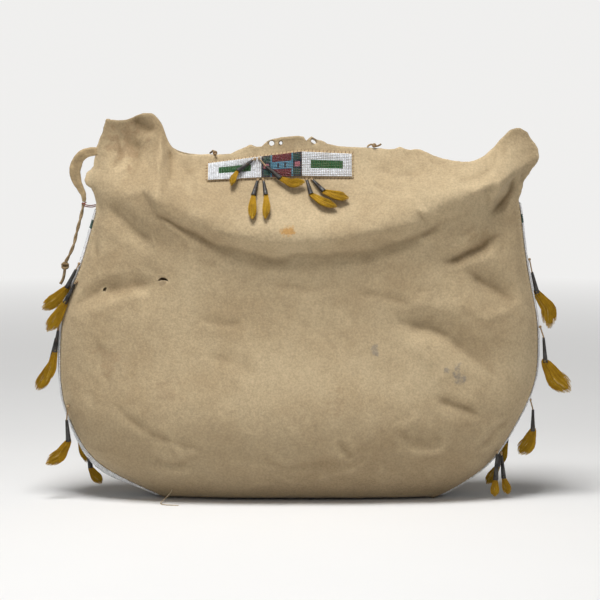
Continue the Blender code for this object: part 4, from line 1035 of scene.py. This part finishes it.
# The stitches that hold the strip. Small stitches of brown thread run over the edge of its hide, all
# the way round, and fasten it to the front of the bag.
EDGE_PITCH = 0.0042
EDGE_THREAD = 0.00034
edge_marks = [(reach, rise, 0, 1 if rise else -1) for rise in (0.0, STRIP_HEIGHT)
              for reach in np.arange(0.002, STRIP_LENGTH, EDGE_PITCH)]
edge_marks += [(reach, rise, 1 if reach else -1, 0) for reach in (0.0, STRIP_LENGTH)
               for rise in np.arange(0.003, STRIP_HEIGHT, EDGE_PITCH)]
edge_lines = []
front_tree = tree_of(hide_bag, backing)
for reach, rise, way_x, way_z in edge_marks:
    line = []
    for step in (-0.0013, -0.0006, 0.0, 0.0007, 0.0013):
        x = STRIP_LEFT + reach + way_x * step + 0.3 * step * way_z
        z = strip_level(reach, rise + way_z * step + 0.3 * step * way_x)
        hit, normal, _, _ = front_tree.ray_cast(Vector((x, -0.5, z)), Vector((0, 1, 0)))
        if hit is not None:
            line.append(hit + normal * (0.0003 - abs(step) * 0.35))
    if len(line) == 5:
        edge_lines.append(line)
edge_mesh = thong_mesh("strip_stitches", edge_lines, EDGE_THREAD, sides=1)
edge_finish = thong_finish("brown_thread", (0.30, 0.18, 0.09), (0.17, 0.10, 0.05), 0.7)
add_piece("strip_stitches", edge_mesh, edge_finish, "bag", "sinew")

# The side strap. A ribbon of darker, stiff hide bows out from the edge of the left ear down to the
# top of the gusset. A reddish thread ties its lower end on.
strap_mesh = rounded_copy("side_strap_hide", "side_strap", 2)
strap_mesh.shade_smooth()
for vert in strap_mesh.vertices:
    rumple = noise.fractal(vert.co * 120, 1.0, 2.0, 4)
    vert.co += vert.normal * rumple * 0.0009
    vert.co.y += 0.0006 * noise.noise(vert.co * 90)
    if vert.co.z > 0.388:
        vert.co.x += 0.0035 * min(max((vert.co.x + 0.244) / 0.009, 0.0), 1.0)
mark_shade_and_wear(strap_mesh, 2)
strap_skin = hide_finish("strap_hide", (0.46, 0.34, 0.19), (0.33, 0.225, 0.115), (0.14, 0.085, 0.04))
add_piece("side_strap_hide", strap_mesh, strap_skin, "bag", "strap", ["side_strap"])
LINK_THREAD = 0.0006
LINK_ROUTES = (
    ((-0.2468, -0.0042, 0.3385), (-0.2435, -0.0075, 0.3372), (-0.2385, -0.0095, 0.3368),
     (-0.2330, -0.0110, 0.3378)),
    ((-0.2480, -0.0010, 0.3372), (-0.2462, -0.0046, 0.3360), (-0.2425, -0.0072, 0.3352),
     (-0.2370, -0.0088, 0.3350), (-0.2326, -0.0100, 0.3364)),
    ((-0.2446, -0.0016, 0.3398), (-0.2470, -0.0046, 0.3392), (-0.2496, -0.0020, 0.3384)),
)
link_mesh = thong_mesh("strap_thread", [line_through(route, 6) for route in LINK_ROUTES], LINK_THREAD)
link_finish = thong_finish("red_thread", (0.38, 0.11, 0.07), (0.22, 0.07, 0.05), 0.7)
add_piece("strap_thread", link_mesh, link_finish, "bag", "strap")

# The ties in the rim. Two short thongs are pulled through slits in the rim and knotted: one runs
# across the mouth to the back, the other sits as two small loops on the front rim.
LEFT_TIE = ((-0.1035, 0.0212, 0.3956), (-0.1016, 0.0162, 0.3971), (-0.0999, 0.0061, 0.3987),
            (-0.0982, -0.0042, 0.3985), (-0.0966, -0.0144, 0.3968), (-0.0955, -0.0196, 0.3950))
RIGHT_TIE = ((0.0765, -0.0118, 0.4035), (0.0781, -0.0118, 0.4052), (0.0801, -0.0118, 0.4062),
             (0.0823, -0.0118, 0.4061), (0.0844, -0.0118, 0.4052), (0.0864, -0.0118, 0.4044),
             (0.0886, -0.0118, 0.4048), (0.0906, -0.0118, 0.4057), (0.0925, -0.0118, 0.4069))
RIM_THONG = 0.0013
tie_thong = thong_finish("tie_thong", (0.42, 0.29, 0.16), (0.24, 0.15, 0.075))


def knot_loops(middle, radius, tilts):
    """Small closed turns of thong round a place, each tilted its own way."""
    loops = []
    for tilt in tilts:
        loops.append([middle + Vector((math.cos(turn), math.sin(turn) * math.cos(tilt),
                                       math.sin(turn) * math.sin(tilt))) * radius
                      for turn in (2 * math.pi * step / 14 for step in range(15))])
    return loops


for tie_name, route in (("left", LEFT_TIE), ("right", RIGHT_TIE)):
    lines = [line_through(route, 4)]
    lines += knot_loops(Vector(route[4]), 0.0017, (0.4, 1.3, 2.4))
    tie_mesh = thong_mesh("rim_thong_" + tie_name, lines, RIM_THONG, taper=lambda share: 0.8)
    add_piece("rim_thong_" + tie_name, tie_mesh, tie_thong, "bag", "strap", ["rim_tie_" + tie_name])

# The dangles. Each is a hide thong knotted to the bag, a cone rolled from sheet tin, and a tuft of
# yellow-dyed feather that is pulled into the cone's mouth. It swings with its own body.
BARBS = 230
BARB_RADIUS = 0.00023
PLUME_HALF = 0.0058
QUILL_RADIUS = 0.00055
TIN_THICKNESS = 0.00028
TIN_WRAP = math.radians(405)
DANGLE_THONG = 0.0008
# How low over the ground a plume may reach.
LOWEST = 0.0006
# How wide each plume spreads, against the plainest one.
SPREADS = {
    "strip_1": 0.60, "strip_2": 0.90, "strip_3": 0.78, "strip_4": 0.72, "strip_5": 0.90,
    "strip_6": 1.05, "left_1": 1.25, "left_2": 1.35, "left_4": 1.25, "left_5": 1.30,
    "right_1": 1.50, "right_2": 1.90, "right_3": 1.55, "right_4": 0.85, "right_5": 0.85,
}


def tin_finish():
    """Tarnished tin: dull grey with brown stained patches and brighter rubbed places."""
    finish, nodes, links, shader, place = new_finish("old_tin")
    shader.inputs["Metallic"].default_value = 0.85
    dull = noise_shade(nodes, links, place, 130, 5, 0.0, 1.0)
    colour = tint(nodes, links, dull, (0.075, 0.073, 0.072), (0.03, 0.028, 0.026))
    rust = noise_shade(nodes, links, place, 210, 6, 0.0, 0.8, 0.54, 0.68)
    colour = tint(nodes, links, rust, colour, (0.08, 0.045, 0.022))
    links.new(colour, shader.inputs["Base Color"])
    rough = noise_shade(nodes, links, place, 260, 4, 0.42, 0.70)
    links.new(rough, shader.inputs["Roughness"])
    roughen(nodes, links, shader, dull, 0.25, 0.0003)
    return finish


def feather_finish():
    """Dyed down, mustard yellow with random streaks and a pale quill; its tone adds painted shade
    deep in the tuft and near the cone, and painted light on the thin tips.
    """
    finish, nodes, links, shader, place = new_finish("dyed_feather", 0.7, 0.25)
    tone = nodes.new("ShaderNodeAttribute")
    tone.attribute_name = "tone"
    dye_and_shade = nodes.new("ShaderNodeValToRGB")
    dye_and_shade.color_ramp.elements[0].position = 0.0
    dye_and_shade.color_ramp.elements[0].color = (0.20, 0.095, 0.003, 1)
    dye_and_shade.color_ramp.elements[1].position = 1.0
    dye_and_shade.color_ramp.elements[1].color = (0.78, 0.64, 0.34, 1)
    for mark, colour in ((0.40, (0.40, 0.215, 0.005)), (0.75, (0.60, 0.37, 0.018))):
        dye_and_shade.color_ramp.elements.new(mark).color = (*colour, 1)
    links.new(tone.outputs["Fac"], dye_and_shade.inputs["Fac"])
    uneven = noise_shade(nodes, links, place, 150, 3, 0.0, 0.45)
    colour = tint(nodes, links, uneven, dye_and_shade.outputs["Color"], (0.24, 0.12, 0.006))
    links.new(colour, shader.inputs["Base Color"])
    return finish


def node_places(node):
    """World places of a node's points, each once."""
    item = frame["nodes"][node]
    found = {tuple(round(c, 6) for c in item.matrix_world @ v.co) for v in item.data.vertices}
    return np.array(sorted(found))


def cone_ends(places):
    """Middle and radius of the two ends of a cone, the narrow one first."""
    centre = places.mean(axis=0)
    way = np.linalg.svd(places - centre)[2][0]
    reach = (places - centre) @ way
    ends = []
    for chosen in (places[reach < 0], places[reach > 0]):
        middle = chosen.mean(axis=0)
        radius = np.linalg.norm(chosen - middle, axis=1).max()
        ends.append((radius, Vector(middle)))
    ends.sort(key=lambda end: end[0])
    return ends


def rolled_cone(name, ends, seed):
    """A cone bent up from a strip of tin whose edges overlap, a little dented and uneven."""
    (top_radius, top), (mouth_radius, mouth) = ends
    run = mouth - top
    turn_to = Vector((0, 0, 1)).rotation_difference(run)
    sheet = bmesh.new()
    bmesh.ops.create_grid(sheet, x_segments=34, y_segments=8, size=0.5)
    for vert in sheet.verts:
        around = vert.co.x + 0.5
        reach = vert.co.y + 0.5
        turn = TIN_WRAP * around + seed
        radius = top_radius + (mouth_radius - top_radius) * reach - 0.0004 + 0.0004 * around
        radius *= 1 + 0.05 * noise.noise(Vector((math.cos(turn), math.sin(turn), reach * 3 + seed)))
        uneven = 0.0005 * noise.noise(Vector((math.cos(turn) * 2, math.sin(turn) * 2, seed)))
        local = Vector((math.cos(turn) * radius, math.sin(turn) * radius,
                        run.length * reach + uneven))
        vert.co = top + turn_to @ local
    bmesh.ops.recalc_face_normals(sheet, faces=sheet.faces)
    bmesh.ops.solidify(sheet, geom=sheet.faces[:], thickness=TIN_THICKNESS)
    mesh = bpy.data.meshes.new(name)
    sheet.to_mesh(mesh)
    sheet.free()
    mesh.shade_smooth()
    mesh.set_sharp_from_angle(angle=math.radians(40))
    return mesh


def feather_tuft(name, path, through, half, seed, quill_shown):
    """A plume: many fine barbs that leave the cone together and spread out, over a streaked vane."""
    line = line_through(path, 12)

    def at(share):
        spot = min(max(share, 0.0), 0.999) * (len(line) - 1)
        i = int(spot)
        way = (line[i + 1] - line[i]).normalized()
        past = max(share - 1.0, 0.0) * line_length(line)
        return line[i].lerp(line[i + 1], spot - i) + way * past, way.cross(through).normalized()

    def breadth(share):
        opened = min(max(share / 0.62, 0.0), 1.0)
        closing = max(share - 0.72, 0.0) / 0.30
        return half * (0.26 + 0.74 * opened**1.1) * (1 - 0.42 * closing**1.7)

    lines = []
    spots = []
    dye_and_shade = []
    for k in range(BARBS):
        key = Vector((k * 0.731, seed * 3.1, 0.5))
        side = noise.cell(key * 31.0)
        deep = noise.cell(key * 47.0)
        start_at = 0.20 + 0.15 * noise.cell(key * 17.0)
        end_at = 0.93 + 0.10 * noise.cell(key * 61.0) - 0.16 * side * side
        barb = []
        for step in range(8):
            share = start_at + (end_at - start_at) * step / 7
            place, across = at(share)
            curl = noise.noise(key + Vector((0, 0, share * 1.6))) * 0.0008 * share
            lift = deep * 0.0015 * (0.5 + 0.5 * share) + curl * 0.4
            place = place + across * (side * breadth(share) + curl) + through * lift
            place.z = max(place.z, LOWEST)
            barb.append(place)
            spots.append(place)
            # Each barb point's tone: random dye, with painted light rising towards the thin tip and
            # on the tuft's front, and painted shade behind.
            dye_and_shade.append(0.30 + 0.20 * noise.cell(key * 83.0) + 0.28 * share + 0.08 * deep)
        lines.append(barb)
    barbs = thong_mesh(name + "_barbs", lines, BARB_RADIUS, sides=0,
                       taper=lambda share: 1.1 - 0.55 * share)
    quill_line = []
    for step in range(14):
        share = 0.10 + 0.62 * step / 13
        place, across = at(share)
        front = 0.0022 if quill_shown else 0.0
        quill_line.append(place + through * front + across * half * 0.25 * share)
    quill = thong_mesh(name + "_quill", [quill_line], QUILL_RADIUS, sides=1,
                       taper=lambda share: 1.1 - 0.8 * share)
    tuft = bmesh.new()
    tuft.from_mesh(barbs)
    barb_points = len(tuft.verts)
    vane = bmesh.ops.create_uvsphere(tuft, u_segments=30, v_segments=16, radius=1.0)
    vane_dye_and_shade = []
    for vert in vane["verts"]:
        streak = noise.noise(Vector((vert.co.x * 13, vert.co.z * 0.6, seed * 1.7)))
        share = 0.02 + (vert.co.z + 1) / 2 * (0.88 + 0.10 * streak)
        # The vane's tone: random streaks, with painted light rising towards the thin tip.
        vane_dye_and_shade.append(0.36 + 0.55 * streak + 0.12 * share)
        place, across = at(share)
        ragged = 0.92 + 0.10 * noise.noise(Vector((share * 14, vert.co.x * 3, seed)))
        vert.co = (place - across * vert.co.x * breadth(share) * ragged
                   + through * vert.co.y * 0.0006)
        vert.co.z = max(vert.co.z, LOWEST)
    vane_points = len(tuft.verts)
    tuft.from_mesh(quill)
    mesh = bpy.data.meshes.new(name)
    tuft.to_mesh(mesh)
    tuft.free()
    bpy.data.meshes.remove(barbs)
    bpy.data.meshes.remove(quill)
    nearest = KDTree(len(spots))
    for i, spot in enumerate(spots):
        nearest.insert(spot, i)
    nearest.balance()
    tones = np.zeros(len(mesh.vertices))
    for i in range(barb_points):
        tones[i] = dye_and_shade[nearest.find(mesh.vertices[i].co)[1]]
    tones[barb_points:vane_points] = vane_dye_and_shade
    tones[vane_points:] = 0.95
    tone = mesh.attributes.new("tone", "FLOAT", "POINT")
    tone.data.foreach_set("value", tones.astype(np.float32))
    mesh.shade_smooth()
    return mesh


tin = tin_finish()
feather = feather_finish()
dangle_thong = thong_finish("dangle_thong", (0.52, 0.38, 0.22), (0.30, 0.19, 0.10))
for seed, joint in enumerate(frame["joints"]):
    name = joint["child"]
    hook = Vector(joint["pos_m"])
    ends = cone_ends(node_places(name + "_cone"))
    top, mouth = ends[0][1], ends[1][1]
    way = (mouth - top).normalized()
    tassel = node_places(name + "_tassel")
    beyond = tassel[(tassel - np.array(mouth)) @ np.array(way) > 0.002]
    far = np.linalg.norm(beyond - np.array(mouth), axis=1)
    tip = Vector(beyond[far > far.max() - 0.0025].mean(axis=0))
    chord = tip - mouth
    shares = (beyond - np.array(mouth)) @ np.array(chord) / chord.length_squared
    middle = Vector(beyond[(shares > 0.38) & (shares < 0.62)].mean(axis=0))
    outward = Vector((1 if hook.y < 0 else -1, 0, 0))
    through = Vector((0, -1, 0)) if joint["axis"][1] else outward.cross(hook - mouth)
    through = (through - chord * through.dot(chord) / chord.length_squared).normalized()

    lines = [line_through((hook, hook.lerp(top, 0.5), top, top + way * 0.006), 4)]
    lines += knot_loops(hook, 0.0009, (0.3, 1.2, 2.2))
    thong = thong_mesh(name + "_thong", lines, DANGLE_THONG)
    add_piece(name + "_thong", thong, dangle_thong, name, "strap")
    add_piece(name + "_tin", rolled_cone(name + "_tin", ends, seed * 1.7), tin, name, "tin",
              [name + "_cone"])
    path = (mouth - way * 0.005, mouth, mouth.lerp(middle, 0.5), middle, middle.lerp(tip, 0.5), tip)
    tuft = feather_tuft(name + "_feather", path, through, PLUME_HALF * SPREADS.get(name, 1.0), seed,
                        not name.startswith("strip"))
    add_piece(name + "_feather", tuft, feather, name, "feather", [name + "_tassel"])
